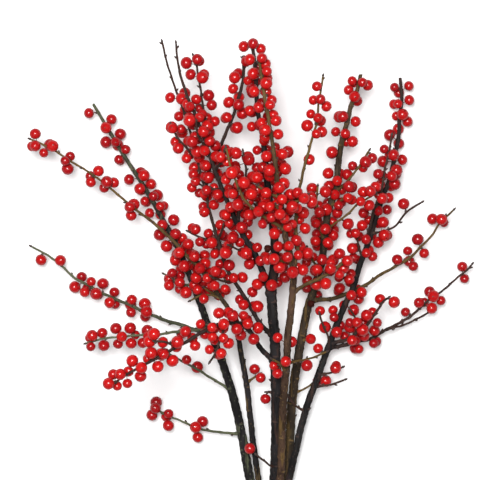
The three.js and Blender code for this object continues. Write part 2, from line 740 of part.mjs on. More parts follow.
// The outline round the stems at a distance from their bark, as straight sides that all touch it.
// No side reaches below the surface, so the lowest one of the twine's outside lies flat on it.
function tieOutline(away) {
  const sides = Array.from({ length: TIE_SIDES }, (_, side) => {
    const angle = (side * 2 * Math.PI) / TIE_SIDES;
    const direction = new THREE.Vector2(Math.cos(angle), Math.sin(angle));
    return { direction, reach: bundleReach(direction) + away };
  });
  const lowest = sides[(TIE_SIDES * 3) / 4];
  if (away > TIE_GAP) lowest.reach = 0;
  return sides.map((side, index) => {
    const next = sides[(index + 1) % TIE_SIDES];
    const cross = side.direction.cross(next.direction);
    const x = (side.reach * next.direction.y - next.reach * side.direction.y) / cross;
    const y = (next.reach * side.direction.x - side.reach * next.direction.x) / cross;
    return new THREE.Vector2(x, y);
  });
}

// The twine: a band of turns round the stems, with a small flat knot and its two loose ends on top
function tieSolid() {
  const shape = new THREE.Shape(tieOutline(TIE_GAP + TIE_THICK));
  shape.holes.push(new THREE.Path(tieOutline(TIE_GAP)));
  const band = new THREE.ExtrudeGeometry(shape, { depth: TIE_WIDTH, bevelEnabled: false, steps: 1 });
  band.rotateX(Math.PI / 2);
  band.translate(0, TIE_WIDTH / 2, 0);
  const knot = new THREE.IcosahedronGeometry(KNOT_RADIUS, 1);
  knot.scale(1, 1, KNOT_FLAT);
  knot.translate(...TWINE_ENDS[0][0]);
  const radius = [TIE_THICK / 2, TIE_THICK / 2];
  const ends = TWINE_ENDS.map((points) => woodSolid({ points, radius }));
  return wasm.Manifold.union([toSolid(band), toSolid(knot), ...ends]);
}

export const bunch = new THREE.Group();
for (const { name, limbs, berries } of stems) {
  const woods = limbs.filter(({ spare }) => !spare).map(woodSolid);
  const even = (index) => (index * KEPT) % 1 < KEPT;
  const kept = berries.filter(({ spare, atTip }, index) => !spare && (atTip || even(index)));
  const solid = wasm.Manifold.union([...woods, ...kept.flatMap(berrySolids)]);
  bunch.add(toMesh(name, solid, fruited));
}
bunch.add(toMesh("tie", tieSolid(), twine));

export default bunch;
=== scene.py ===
"""A bunch of cut winterberry: woody stems with stalked red berries, tied with twine, lying down."""

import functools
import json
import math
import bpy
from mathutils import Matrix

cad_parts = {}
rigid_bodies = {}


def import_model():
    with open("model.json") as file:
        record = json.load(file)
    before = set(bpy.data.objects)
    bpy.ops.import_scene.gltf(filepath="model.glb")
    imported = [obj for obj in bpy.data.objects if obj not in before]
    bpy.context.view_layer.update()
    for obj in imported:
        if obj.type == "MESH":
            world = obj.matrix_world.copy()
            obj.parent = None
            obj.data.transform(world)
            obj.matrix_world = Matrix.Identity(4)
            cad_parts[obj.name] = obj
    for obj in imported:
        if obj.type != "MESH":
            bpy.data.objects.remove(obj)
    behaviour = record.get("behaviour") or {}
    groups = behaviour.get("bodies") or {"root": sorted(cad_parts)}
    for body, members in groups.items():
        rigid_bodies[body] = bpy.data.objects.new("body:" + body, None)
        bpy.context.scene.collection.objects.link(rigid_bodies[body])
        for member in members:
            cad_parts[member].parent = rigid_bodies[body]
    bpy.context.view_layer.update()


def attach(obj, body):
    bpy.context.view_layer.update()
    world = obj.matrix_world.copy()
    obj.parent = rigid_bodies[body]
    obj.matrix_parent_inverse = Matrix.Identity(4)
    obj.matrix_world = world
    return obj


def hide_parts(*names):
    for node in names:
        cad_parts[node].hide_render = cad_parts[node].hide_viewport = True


bl_info = {
    "name": "Winterberry bunch",
    "version": (1, 0, 0),
    "blender": (4, 5, 0),
    "location": "3D View > Sidebar > Winterberry",
    "description": "Dresses a bunch of cut winterberry stems with bark, buds, berries and twine",
    "category": "Object",
}

import bpy
import numpy as np
from bpy.props import FloatProperty, FloatVectorProperty, IntProperty, PointerProperty
from mathutils import Matrix, Vector

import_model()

MM = 0.001

# The plant's rules, in millimetres, as the solids have them
BERRY_RADIUS = 4.7
BERRY_SPREAD = 0.14  # berries differ from the middle size by up to this share
BERRY_FACET = 1.06  # room that a berry takes, as a share of its radius
STALK_SHORTEST = 0.5  # from the twig's bark to the berry's skin
STALK_LONGEST = 2.2
LEAF_STEP = 12.0  # between neighbouring leaf scars, where the berries grow
STEP_SPREAD = 0.15  # steps differ from the middle one by up to this share
CLUSTER_LEAST = 0.6  # a cluster has at least this share of its stretch's most
SHOOT_STEP = 19.0  # between the short fruiting shoots of a stem
SHOOT_SHORTEST = 16.0
SHOOT_LONGEST = 32.0
SHOOT_RADIUS = (1.1, 0.7)
SHOOT_FRUIT = (0.7, 2.0, 5)  # a stretch of fruit, given as in the stems below
SHOOT_ROOM = 2.0  # room that a shoot wants round its bark, for its berries
SHOOT_CLEAR = 0.6  # from here on, in points along the shoot
NODE_GAP = 0.5  # least air between two stems' berries or bark
FLOOR_GAP = 0.3  # least air under all but the three resting places
SPIRAL = math.radians(137.5)  # from one leaf scar to the next, round the twig
FAN = math.radians(80)  # between neighbouring berries of one cluster
SHOOT_TURN = math.radians(52)  # a shoot with no room moves round the stem by this
BERRY_TURN = math.radians(15)  # a berry with no room moves to either side by this
TRIES = 14
STRETCH = 0.12  # a stalk is longer by this at each further try
LEAN = 0.55  # how far a shoot leans towards the twig's tip
STALK_LEANS = (0.5, -0.15, 1.1)  # the leans that a stalk tries in turn
TOUCH = 1.0  # neighbours on one stem come no closer than this share of their radii
SAMPLES = 8  # sample points for each span of a limb
SEED = 13
TIE_WIDTH = 10.0  # along the stems


def branch(name, radius, points, fruit=(), shoots=()):
    """One limb of a stem, from the places on its centre line and its radii from root to tip"""
    line = np.array(points, float)
    return {"name": name, "radius": radius, "points": line, "fruit": fruit, "shoots": shoots}


# The stems' limbs: radii in even steps from root to tip, and the centre line. A stretch of fruit is
# given by the points that it runs between and its most berries to a leaf scar, and the short
# fruiting shoots by the points that they grow between.
STEMS = {
    "stem_left": [
        branch("main", (4.2, 4.1, 3.3, 2.2, 1.2), [
            (-11.1, -84, 6.8), (-9.5, -32, 6.6), (-9.45, 0, 6.5), (-13.4, 22, 7.6), (-19.1, 47, 9.4),
            (-25.7, 84, 13.4), (-33.2, 117, 17.1), (-42, 145, 20), (-51, 168, 22), (-60, 193, 23),
            (-70, 220, 23), (-81, 246, 22), (-96, 274, 20), (-111, 300, 17.5), (-131, 331, 14.6),
            (-144, 353, 13.8), (-156, 373, 13.6),
        ], fruit=[
            (9.6, 10, 3), (10.2, 12.2, 6), (12.5, 13.4, 5), (13.8, 15.3, 3), (15.6, 15.8, 1),
        ], shoots=(9.6, 12.6)),
        branch("low_twig", (1.3, 0.7), [
            (-25, 84, 13), (-36, 83.5, 12.4), (-50, 85.5, 12), (-63, 87.5, 12), (-76, 93.5, 12.4),
            (-88, 98, 13), (-97, 103, 14), (-102, 105, 14.5),
        ], fruit=[(3, 3.4, 3), (5, 7, 4)]),
        branch("bent_twig", (1.2, 0.7), [
            (-34, 121, 17), (-56, 135.5, 24), (-73.5, 146, 29), (-86, 153, 33), (-93, 158.5, 36),
        ], fruit=[(1.2, 1.5, 1), (1.9, 2.2, 1), (3.4, 4, 3)]),
        branch("long_twig", (1.7, 0.8), [
            (-51, 168, 22), (-72, 177, 19), (-92, 183, 17), (-110, 190, 16), (-127, 198, 15),
            (-142, 204, 14.5), (-157, 212, 14.5), (-173, 221, 15), (-187, 234, 16), (-199, 242, 17),
            (-210, 248, 18),
        ], fruit=[(1.2, 1.5, 1), (3, 4.2, 4), (4.6, 6, 5), (6.5, 7.2, 3), (8, 8.4, 1), (9, 9.6, 2)]),
        branch("flat_twig", (1.3, 0.7), [
            (-54, 176, 22.5), (-78.5, 174, 30), (-91.5, 172.5, 35), (-101.5, 171, 38),
            (-114.5, 171, 40), (-130, 170, 41), (-142.5, 168.5, 41), (-154, 166, 41), (-160.5, 164, 40),
        ], fruit=[(3.4, 5.6, 5), (6, 6.6, 3), (6.9, 8, 5)]),
        branch("spur_twig", (0.9, 0.6), [
            (-68, 214, 23), (-79, 215, 22), (-87.5, 220.5, 20), (-94, 224, 19),
        ], fruit=[(1.6, 3, 5)]),
    ],
    "stem_long": [
        branch("main", (2.6, 2.6, 1.9, 1.1, 0.7), [
            (-7, -76, 13.5), (-5.6, -30, 12.9), (-5.3, 0, 12.7), (-8, 22, 14.5), (-11.6, 49, 17),
            (-16.3, 83, 21.8), (-21, 126, 28.1), (-24.4, 145, 31), (-28, 166, 34), (-32, 182, 37),
            (-39, 197, 39), (-50, 212, 41), (-61, 228, 42), (-73, 240, 43), (-88, 256, 43),
            (-104, 270, 43), (-120, 282, 42), (-134, 294, 41), (-153, 309, 40), (-174, 322, 38),
            (-193, 334, 37), (-209, 341, 36),
        ], fruit=[
            (4.6, 4.8, 1), (10.6, 13.6, 3), (15.8, 16.3, 5), (17.3, 18.1, 6), (18.9, 19.4, 5),
            (19.8, 21, 5),
        ], shoots=(9.5, 12)),
        branch("inner_twig", (1.1, 0.7), [
            (-21.5, 129, 28.5), (-15, 133.5, 28), (-9.5, 137, 27),
        ], fruit=[(1.2, 2, 3)]),
        branch("over_twig", (0.9, 0.6), [
            (-42.8, 202.6, 39.8), (-52, 206, 41.5), (-62, 205, 42), (-70, 201, 41),
        ], fruit=[(1.7, 3, 5)]),
    ],
    "stem_dark": [
        branch("main", (4.7, 4.8, 4.3, 2.3, 1.3), [
            (0.3, -90, 7.3), (0.3, -30, 7.1), (0.3, 0, 7.1), (1.7, 22, 11.3), (3.9, 49, 17.7),
            (4.8, 83, 25.4), (4.6, 118, 33.1), (3.8, 144, 38), (3, 170, 43), (1, 191, 47),
            (0.3, 211, 50), (3.2, 240, 54), (1.5, 263, 57), (-1.5, 285, 60), (-4, 306, 62),
            (-6.2, 330, 63), (-9, 348, 64), (-12.5, 368, 64), (-13.4, 391, 63), (-15, 410, 62),
            (-17.2, 423, 61),
        ], fruit=[(10.2, 11.1, 6), (13, 16, 3), (16.2, 19.6, 6)], shoots=(12.5, 15)),
        branch("front_bough", (2.3, 0.9), [
            (3.7, 148, 39), (-8.3, 159, 50), (-13, 167, 58), (-19, 176, 68), (-27, 183, 80),
            (-39.5, 184, 94), (-54.5, 179, 107), (-68.5, 171, 115), (-79.5, 165, 119),
            (-96.5, 155.5, 122), (-113, 147, 122), (-126.5, 138.5, 120), (-133, 133.5, 118),
        ], fruit=[(3, 12, 6)]),
        branch("bough_spur", (1, 0.8), [
            (-79.5, 165, 119), (-87.9, 169.6, 124), (-96.8, 170.5, 127),
        ], fruit=[(0.6, 2, 6)]),
        branch("hanging_twig", (1.1, 0.7), [
            (-39.5, 184, 94), (-42.9, 171.7, 99), (-47, 160, 102), (-52, 152, 102),
        ], fruit=[(0.8, 3, 6)]),
        branch("left_limb", (2.9, 2.2, 1.4, 0.8), [
            (0.4, 206, 49.5), (-8.3, 228, 54), (-16, 245, 58), (-23.6, 256, 61), (-32, 273, 65),
            (-39, 289, 68), (-46.6, 308, 71), (-53.3, 327, 73), (-61, 350, 74), (-69.5, 370, 74),
            (-76, 388, 73), (-79.7, 404, 72), (-81.4, 421, 71),
        ], fruit=[(0.6, 2.4, 6), (3, 5.6, 5), (5.8, 9.4, 6)], shoots=(2, 6.4)),
        branch("leaning_twig", (1.5, 0.8), [
            (-29.5, 268, 64), (-27, 281, 62), (-23.6, 297.5, 64), (-22, 313, 68), (-24.5, 329, 72),
        ], fruit=[(0.8, 4, 5)]),
        branch("short_tall_twig", (1.1, 0.8), [
            (-57, 339, 73.5), (-56.8, 355, 70), (-58.4, 368, 68), (-61.4, 386, 67), (-63.5, 400, 66),
            (-67, 411, 65),
        ], fruit=[(1, 2.2, 5), (2.5, 3, 1), (3.3, 5, 5)]),
        branch("black_limb", (2, 1.5, 1.1, 0.8), [
            (3, 170, 43), (-6.7, 178, 42), (-15, 190, 43), (-22, 203, 44), (-32, 218, 46),
            (-39, 231, 47), (-44, 246, 48), (-49, 263, 49), (-54, 282, 50), (-57, 298, 51),
            (-62, 315, 52), (-67, 336, 53), (-73, 357, 53), (-80, 377, 53), (-86.5, 395, 52),
            (-91, 411, 51), (-94, 424, 50),
        ], fruit=[(2, 3.6, 4), (4, 7, 3), (7.8, 9.6, 5), (9.8, 13, 6)], shoots=(4, 7)),
        branch("left_cluster_twig", (1.1, 0.8), [
            (-63.7, 322, 52.3), (-71.4, 330.4, 62), (-79.8, 340.4, 66), (-85.8, 352.3, 68),
        ], fruit=[(0.6, 3, 4)]),
        branch("upper_cluster_twig", (1.1, 0.8), [
            (-53.3, 327, 73), (-57.4, 332.9, 80), (-62.4, 342.8, 86), (-64, 353.5, 89),
        ], fruit=[(0.7, 3, 6)]),
        branch("crossing_twig", (1.6, 1.3), [
            (-57, 298, 51), (-51, 321, 55), (-44, 334, 54), (-34.6, 356, 53), (-28, 376, 52),
            (-24, 395, 51), (-24, 412, 50),
        ], fruit=[(0.6, 1.3, 5), (2.8, 5.2, 6)]),
        branch("back_twig", (0.9, 0.6), [
            (-44, 246, 48), (-56, 254, 45), (-64, 257, 43), (-72, 261, 42),
        ], fruit=[(1, 3, 3)]),
        branch("bare_twig", (0.8, 0.6), [(4.3, 55, 18), (-1, 57, 27), (-7, 62, 30), (-13, 67, 31)]),
        branch("single_twig", (0.8, 0.7), [
            (4.6, 119, 33), (-1, 121.5, 33.5), (-4, 121.5, 33.5),
        ], fruit=[(1.6, 2, 1)]),
    ],
    "stem_front": [
        branch("main", (3.2, 3.3, 2.9, 1.9, 1.1), [
            (2, -86, 16.4), (1.4, -30, 15.7), (1.2, 0, 15.6), (4, 22, 20.6), (8.5, 49, 27.4),
            (9.2, 83, 37), (10.6, 118, 47.2), (13, 148, 56), (13.6, 170, 64), (16, 191, 71),
            (17.5, 209, 77), (18.2, 227, 83), (14.8, 242, 88), (11.4, 255, 92), (9.6, 270, 96),
            (7.1, 286, 99), (4.1, 300, 102), (2.5, 317, 104), (0.4, 331, 105), (-3, 353, 106),
            (-6.7, 373, 106), (-8.8, 388, 105), (-11.2, 403, 104),
        ], fruit=[
            (7.7, 8.2, 3), (10.8, 13.2, 5), (13.4, 15.4, 6), (15.6, 18, 5), (18.4, 22, 6),
        ], shoots=(11.4, 16.4)),
        branch("stub_twig", (1.5, 1.3), [
            (17.5, 209, 77), (28.4, 215.5, 76), (38.7, 220.5, 74), (51.5, 227, 72), (65, 239, 70),
        ], fruit=[(2, 4, 6)]),
        branch("low_side_twig", (1.1, 0.7), [
            (13, 148, 56), (24, 149.5, 50), (37, 152.5, 44), (48, 157, 41),
        ], fruit=[(0.9, 1.2, 1), (2.6, 3, 1)]),
        branch("low_cluster_twig", (1.1, 0.8), [
            (12.4, 140.5, 53.8), (7.2, 147.6, 62), (0.2, 152.2, 67),
        ], fruit=[(0.8, 2, 6)]),
        branch("tall_twig", (1.6, 0.7), [
            (18, 231, 84), (21.5, 247, 84), (20, 270, 82), (22, 290, 80), (24.5, 303, 79),
            (29.7, 324, 77), (34, 339, 76), (38, 352.5, 75), (39.2, 365, 74), (41.8, 382, 73),
            (43.5, 393, 72),
        ], fruit=[(0.8, 3.6, 5), (5, 5.3, 1), (6.3, 8.4, 5), (8.8, 9.4, 1)]),
        branch("near_twig", (1.4, 0.8), [
            (10.5, 262, 94), (-2, 270, 102), (-14.5, 278, 108), (-24.5, 289, 112), (-31, 303, 115),
            (-35.5, 317, 116), (-38.6, 330, 115),
        ], fruit=[(1, 6, 6)]),
        branch("near_spur", (1.1, 0.8), [
            (7.1, 286, 99), (14.6, 285, 107), (22.5, 286, 113), (29, 291, 116),
        ], fruit=[(0.9, 3, 6)]),
    ],
    "stem_middle": [
        branch("main", (3.9, 4, 3.4, 2.7, 1.6), [
            (11, -80, 6.6), (9.7, -30, 6.3), (9.5, 0, 6.3), (11.8, 22, 7.8), (14.9, 47, 9.9),
            (16.9, 82, 13.2), (18.3, 108, 16.1), (20.6, 130, 19), (24, 152, 22), (26.4, 166, 24),
            (30.6, 188, 27), (34, 201, 29), (39.6, 218, 31), (44, 235, 33), (46, 251, 35),
            (48.3, 273, 37), (51.7, 285, 38), (56, 298, 39), (57.6, 315, 40), (59.3, 329, 40),
            (61.8, 342, 40), (65.8, 356, 40), (69.5, 371, 39), (74.6, 384, 38), (77.6, 397, 37),
        ], fruit=[
            (11, 13, 3), (13.2, 15.2, 5), (15.6, 18.2, 6), (18.6, 19.2, 3), (20, 21, 4),
            (22.4, 23.5, 5),
        ], shoots=(11.4, 16.4)),
        branch("right_bough", (1.9, 0.8), [
            (34, 201, 29), (51, 202, 25), (64, 205.5, 22), (75.5, 210.5, 20.5), (88.5, 217.5, 19),
            (95.5, 223, 18.5), (109.5, 230.5, 18), (121, 237.5, 18), (129.5, 245.5, 18.5),
            (140, 256.5, 19), (148, 268, 19.5), (160, 280, 20),
        ], fruit=[(1.8, 3.6, 4), (5.9, 6.3, 1), (7, 8.6, 4), (10, 10.6, 4)]),
        branch("budded_twig", (1.1, 0.7), [
            (55, 295, 39), (64.5, 303, 44), (72, 312, 48), (80, 324, 51), (84, 330.5, 53),
        ], fruit=[(0.7, 1.7, 5), (2.2, 3.1, 3)]),
        branch("thin_twig", (0.9, 0.6), [
            (47, 262, 36), (62, 273, 50), (75, 285, 57), (81, 288.5, 59), (88.5, 293, 61),
        ], fruit=[(0.8, 1.2, 1), (2.4, 4, 5)]),
        branch("short_twig", (0.9, 0.7), [
            (26, 165, 24), (32.3, 168, 30), (36, 169, 33),
        ], fruit=[(1.7, 2, 1)]),
        branch("under_twig", (0.9, 0.7), [
            (19.3, 119, 17.5), (30, 123, 14), (39, 130, 12.5), (44.5, 136, 12),
        ], fruit=[(2.2, 2.8, 3)]),
        branch("upright_twig", (1.1, 0.7), [
            (46, 253, 35), (41, 268, 44), (39, 285, 50), (39.8, 300, 54),
        ], fruit=[(1, 3, 5)]),
    ],
    "stem_right": [
        branch("main", (3.15, 3.05, 2.7, 2.2, 1.4), [
            (9.2, -72, 14.3), (8.2, -30, 14), (8, 0, 13.8), (11.6, 22, 15.6), (16.7, 47, 17.5),
            (22.6, 73, 19.7), (27.7, 95, 21.4), (34.4, 117, 23.1), (39.5, 130, 24.6), (43.8, 143, 26),
            (50.7, 162, 28), (55.8, 176, 29), (63.5, 195.5, 30), (68.7, 206, 30.5), (73, 217, 30.5),
            (77.3, 232, 30), (81.6, 243, 29), (86, 255, 27.5), (92, 274, 25), (98.4, 293, 22),
            (103.8, 306, 20), (107.6, 322, 17.5), (112, 343, 14.8), (113, 359.5, 14), (115, 378, 13.8),
            (113.6, 396, 13.6),
        ], fruit=[
            (11, 14, 3), (15, 18.6, 3), (19.4, 21.6, 5), (21.8, 22.3, 3), (23, 23.9, 6),
            (24.3, 24.8, 4),
        ], shoots=(12.6, 16.4)),
        branch("side_limb", (1.5, 0.7), [
            (83.5, 248, 28.5), (85.5, 264, 35), (90, 282.5, 38), (95.5, 295.5, 38), (98, 312.5, 37),
            (102, 328, 35), (105, 345, 32),
        ], fruit=[(0.8, 2.6, 2), (2.8, 4, 4), (5, 5.6, 3)]),
        branch("budded_twig", (1, 0.6), [
            (87.4, 259.3, 27), (97, 261, 31), (109, 266.5, 33), (117, 277.5, 35), (131, 286.5, 36),
        ], fruit=[(0.8, 1.6, 5), (2.9, 3.2, 1)]),
        branch("right_bough", (1.7, 0.7), [
            (50, 160, 28), (64, 161.5, 24), (77, 165, 21), (88.5, 167.5, 19), (99.5, 174, 18),
            (116.5, 183, 17), (123.5, 187, 17), (136.5, 199.5, 17), (150, 208.5, 17), (162, 219.5, 17),
            (171.5, 226.5, 17), (176.5, 232.5, 17),
        ], fruit=[(0.8, 1.2, 1), (1.8, 3.8, 5), (5.8, 7, 3), (7.4, 8.2, 5), (9.6, 10.3, 3)]),
        branch("bare_fork", (0.9, 0.6), [
            (101, 175, 18), (119.5, 180, 13.5), (133, 186.5, 12.5), (138, 189.5, 12.5),
        ]),
        branch("rising_bough", (1.6, 0.9), [
            (51, 163, 28), (68, 168, 33), (76, 175, 37), (84.5, 182, 40), (90.5, 191, 43),
            (96, 200, 46), (101, 204, 48),
        ], fruit=[(1, 3.8, 5), (4.6, 5, 1), (5.8, 6, 1)]),
        branch("rising_spur", (1, 0.8), [
            (76, 175, 37), (73, 185, 45), (67.5, 194, 49),
        ], fruit=[(0.8, 2, 6)]),
        branch("bare_side_twig", (1, 0.8), [(37.7, 125.5, 24), (52.5, 127, 22), (65, 131.5, 21)]),
        branch("fine_side_twig", (0.8, 0.6), [
            (41.5, 136, 25.2), (52.5, 138, 28), (62.5, 143, 30),
        ], fruit=[(1.6, 2, 2)]),
        branch("curved_twig", (0.8, 0.7), [
            (50.7, 163, 28), (49.5, 170, 36), (44.5, 180, 42), (41.5, 190, 46),
        ], fruit=[(2.7, 3, 1)]),
        branch("fine_cross_twig", (0.8, 0.6), [(30.1, 103.6, 21.8), (21, 109.5, 26), (14.5, 118, 28)]),
        branch("left_spur", (1, 0.8), [
            (71.5, 213, 30.5), (65, 219, 38), (60.5, 223.5, 42),
        ], fruit=[(0.9, 2, 5)]),
    ],
}

# The two berries that the bunch lies on, with the tie: the stem and the height along it
RESTING = {"stem_left": 337, "stem_right": 350}

# The colours of each stem's old bark and of its young twigs
BARKS = {
    "stem_left": ("grey_bark", "green_twig"),
    "stem_long": ("grey_bark", "tan_twig"),
    "stem_dark": ("grey_bark", "brown_twig"),
    "stem_front": ("tan_bark", "tan_twig"),
    "stem_middle": ("olive_bark", "tan_twig"),
    "stem_right": ("grey_bark", "brown_twig"),
}

# Where a berry has dried up dark: the places across and along the bunch
DRIED_PLACES = ((-3.9, 246.2), (34.7, 198.3))

# Limbs whose tip was cut off. All others end in a bud.
CUT_TIPS = (
    ("stem_left", "main"), ("stem_dark", "main"), ("stem_dark", "crossing_twig"),
    ("stem_front", "stub_twig"), ("stem_middle", "main"), ("stem_right", "main"),
)

# The wood's skin, in millimetres
THINNEST = 0.9  # the least radius of a twig
WOOD_SIDES, TWIG_SIDES = 12, 10
TWIG_WOOD = 1.4  # limbs of up to this radius have a twig's number of sides
SMOOTH_ANGLE = math.radians(48)  # edges sharper than this, as at the cuts, stay sharp
LONG_CROOKS = (20, 32)  # the least and the most length of a limb's long bends
SHORT_CROOKS = (8, 13)
SHORT_SHARE = 0.6  # how far the short bends stray, as a share of the long ones
STRAIGHT_END = 12.0  # a limb strays less within this length of its two ends
CROOKED_TO = 1.5  # limbs with a larger radius than this stray less
UNEVENNESS = 0.04  # a limb is thinner and thicker along its length by this share
UNEVEN_TURN = 0.9  # radians of that wave for each millimetre
FLARE_REACH = 1.8  # how far a root flare reaches up a twig
TIP_TAPER = ((0, 0.8, 2), (0.6, 0.95, 1))  # lengths from a grown tip, and shares of the radius
SCAR_REACH = 1.1  # how far the swelling at a leaf scar reaches along the twig
SCAR_ALL_ROUND = 0.35  # the share of the swelling that goes all round the twig
SCAR_MOST = 1.2  # neighbouring swellings add up to this at most
SWOLLEN = 1.4  # thicker wood swells no more at its leaf scars than wood of this radius
FORK_SCAR = (0.8, 0.6, 1.5)  # how scarred a twig's foot is, how far from the stem, how far along
OLD_WOOD, YOUNG_WOOD = 2.6, 0.8  # the radii at which the bark is all old or all young
SPARE_END = 4.0  # wood grown past a cut end, for the cut to go through
CUT_SLANT, CUT_TILT = 0.7, 0.3  # the most that a cut leans to the side, and up or down
CUT_RINGS = ((0.16, 1), (0.62, 2))  # inset as a share of the radius, and the material inside it
PITH_SHADE = 0.35  # the pith's colour, as a share of the wood's

# Leaf scars and buds on bare wood, in millimetres
BUD_STEP = 8.0  # between neighbouring scars
BUD_FIRST, BUD_NEXT = (0.5, 1), (0.9, 1.5)  # least and most length to a scar, in steps
BUD_CLEAR = 0.6  # least distance from a scar with berries, in steps
BUD_WOOD = 2.2  # wood of a larger radius has shed most of its buds
BUD_KEPT = 0.25  # the share of them that it has kept, from BUD_HEIGHT along the bunch
BUD_HEIGHT = 90
BUD_FOOT = 0.95  # where a bud stands, in twig radii from the twig's middle
BUD_LEAN = 1.1  # how far a bud leans towards the tip
BUD_SIZES = (0.85, 1.25)
TIP_BUD_WIDTH, TIP_BUD_LENGTHS = 1.3, (1.2, 1.5)
TIP_BUD_SUNK = 0.6  # how deep the bud at a tip sits in it

# The stalk's rings, with its foot at 0 and the berry at 1: height, and how much each is widened
STALK_RINGS = ((0.12, 1.05), (0.3, 0.9), (0.62, 0.95), (0.86, 1.3), (1, 1.9), (0, 1.5))
STALK_WIDTHS = (0.85, 1.15)
STALK_FOOT = 0.6  # where a stalk starts inside the twig, in twig radii from its middle
STALK_REACH = 0.74  # where it ends, just inside the berry, in berry radii from its middle

# The berry's profile, in berry radii, from its blossom end down: radius and height of each ring
BERRY_PROFILE = (
    (0.09, 0.975), (0.58, 0.81), (0.92, 0.44), (1.03, -0.02), (0.9, -0.47), (0.5, -0.84),
)
BERRY_STEM_DIP = 0.08  # how deep the dip round the stalk is, in berry radii
BLOSSOM_FROM = 0.96  # the dark point at the blossom end starts at this height, in berry radii
BERRY_TILT = 0.15  # how far a berry leans to any side of its stalk's line
BERRY_TONES = (0.35, 0.65)  # least and most ripeness at the ground: 0 is dried, 1 fully ripe
PAINTED_LIGHT_BY_HEIGHT = 0.0022  # painted light: how much lighter a berry's skin is painted for each millimetre of height
DRIED_SIZE = (0.72, 0.72, 0.68)
DRIED_WRINKLES = 0.16  # in berry radii

# The twine, in millimetres or as shares of its thickness
TIE_GAP = 0.35  # between the stems' bark and the twine
OUTLINE_STEP = 3  # degrees between the places where the twine's way round the stems is found
KNOT = (0, 0, 22.6)
TWINE_ENDS = ((KNOT, (-6, 4, 23.2), (-12, 10, 22.4)), (KNOT, (6, 3.5, 23.2), (11, 10, 24.2)))
KNOT_SIZE, KNOT_DEPTH = 0.62, 0.62  # and its depth as a share of its size
KNOT_START = 0.35  # radians round the knot, where its line starts and ends
KNOT_LIFT = 0.1  # of the knot's middle over the foot of its ends
STRANDS, STRAND_SIDES = 3, 8
STRAND_STEP = 0.45  # from one ring of a strand to the next
STRAND_OFFSET, STRAND_RADIUS = 0.27, 0.29
STRAND_PITCH = 2.9  # the length of one twist
FRAY_REACH, FRAY_SPREAD = 3.0, 1.6  # length of a frayed end, and how much wider it gets
FRAY_POINT = ((0, 1.2), (0.45, 1))  # lengths from a strand's end, and the shares of its radius

# The stage, in metres and watts: name, place, size and power of each light
FLOOR_SIZE, FLOOR_PLACE = 6, (0, 0.2, 0)
LIGHTS = (
    ("key_light", (-0.16, 0.5, 1.9), 0.7, 60),
    ("fill_light", (1.1, -0.1, 1.3), 1.2, 2),
    ("front_light", (-0.9, -0.4, 1.2), 1.2, 2),
)
LIGHT_TARGET = (-0.02, 0.25, 0.04)
SKY_STRENGTH = 0.1
CAMERA_PLACE = (-0.027, 0.2535, 1.770)
CAMERA_LENS, CAMERA_SENSOR = 150, 36  # millimetres

ANY_TURN = (0, 6)  # radians, nearly all the way round
UP = np.array((0.0, 0.0, 1.0))


class Stream:
    """A repeatable stream of numbers from 0 to 1"""

    def __init__(self, seed):
        self.state = seed

    def draw(self):
        """The next number"""
        whole = 2**32 - 1
        self.state = (self.state + 0x6D2B79F5) & whole
        mixed = ((self.state ^ (self.state >> 15)) * (1 | self.state)) & whole
        mixed = (mixed + ((mixed ^ (mixed >> 7)) * (61 | mixed) & whole)) & whole ^ mixed
        return ((mixed ^ (mixed >> 14)) & whole) / 2**32

    def between(self, low, high):
        """The next number, from low to high"""
        return lerp(low, high, self.draw())


class Room:
    """Everything that takes up room so far, as balls"""

    def __init__(self):
        self.balls = np.zeros((16, 5))
        self.count = 0

    def take(self, stem, at, radius):
        """Keeps a ball's room for a stem"""
        if self.count == len(self.balls):
            self.balls = np.concatenate((self.balls, np.zeros_like(self.balls)))
        self.balls[self.count] = (*at, radius, stem)
        self.count += 1

    def has(self, stem, at, radius):
        """Whether a ball has room: balls of one stem may touch, other stems keep their distance"""
        if at[2] < radius + FLOOR_GAP:
            return False
        balls = self.balls[: self.count]
        apart = np.sqrt(((balls[:, :3] - at) ** 2).sum(axis=1))
        reach = balls[:, 3] + radius
        least = np.where(balls[:, 4] == stem, reach * TOUCH, reach + NODE_GAP)
        return bool((apart > least).all())


def lerp(low, high, share):
    """The value at a share of the way from low to high"""
    return (1 - share) * low + share * high


def unit(vector):
    """The same direction with a length of one"""
    return vector / math.sqrt(float(vector @ vector))


def curve_point(points, share):
    """The point at a share of a smooth curve through the points"""
    spans = len(points) - 1
    place = spans * share
    index = int(place)
    weight = place - index
    if weight == 0 and index == spans:
        index, weight = spans - 1, 1.0
    start, end = points[index], points[index + 1]
    before = points[index - 1] if index > 0 else 2 * points[0] - points[1]
    after = points[index + 2] if index + 2 < len(points) else 2 * points[-1] - points[-2]
    leave = 0.5 * (end - before)
    arrive = 0.5 * (after - start)
    square = -3 * start + 3 * end - 2 * leave - arrive
    cube = 2 * start - 2 * end + leave + arrive
    return start + leave * weight + square * weight**2 + cube * weight**3


def curve_way(points, share):
    """The curve's direction at a share of it"""
    step = 0.0001
    return unit(
        curve_point(points, min(1.0, share + step)) - curve_point(points, max(0.0, share - step))
    )


def thickness(limb, share):
    """A limb's radius at a share of its length"""
    radii = limb["radius"]
    return np.interp(np.asarray(share) * (len(radii) - 1), np.arange(len(radii)), radii)


def sample_limb(limb):
    """The limb's centre line with its direction and radius, sampled evenly between its points"""
    points = limb["points"]
    spans = len(points) - 1
    steps = spans * SAMPLES
    samples = []
    length = 0.0
    for step in range(steps + 1):
        share = step / steps
        at = curve_point(points, share)
        if samples:
            length += math.dist(at, samples[-1]["at"])
        sample = {"at": at, "along": curve_way(points, share), "radius": thickness(limb, share)}
        samples.append({**sample, "length": length, "span": share * spans})
    return samples


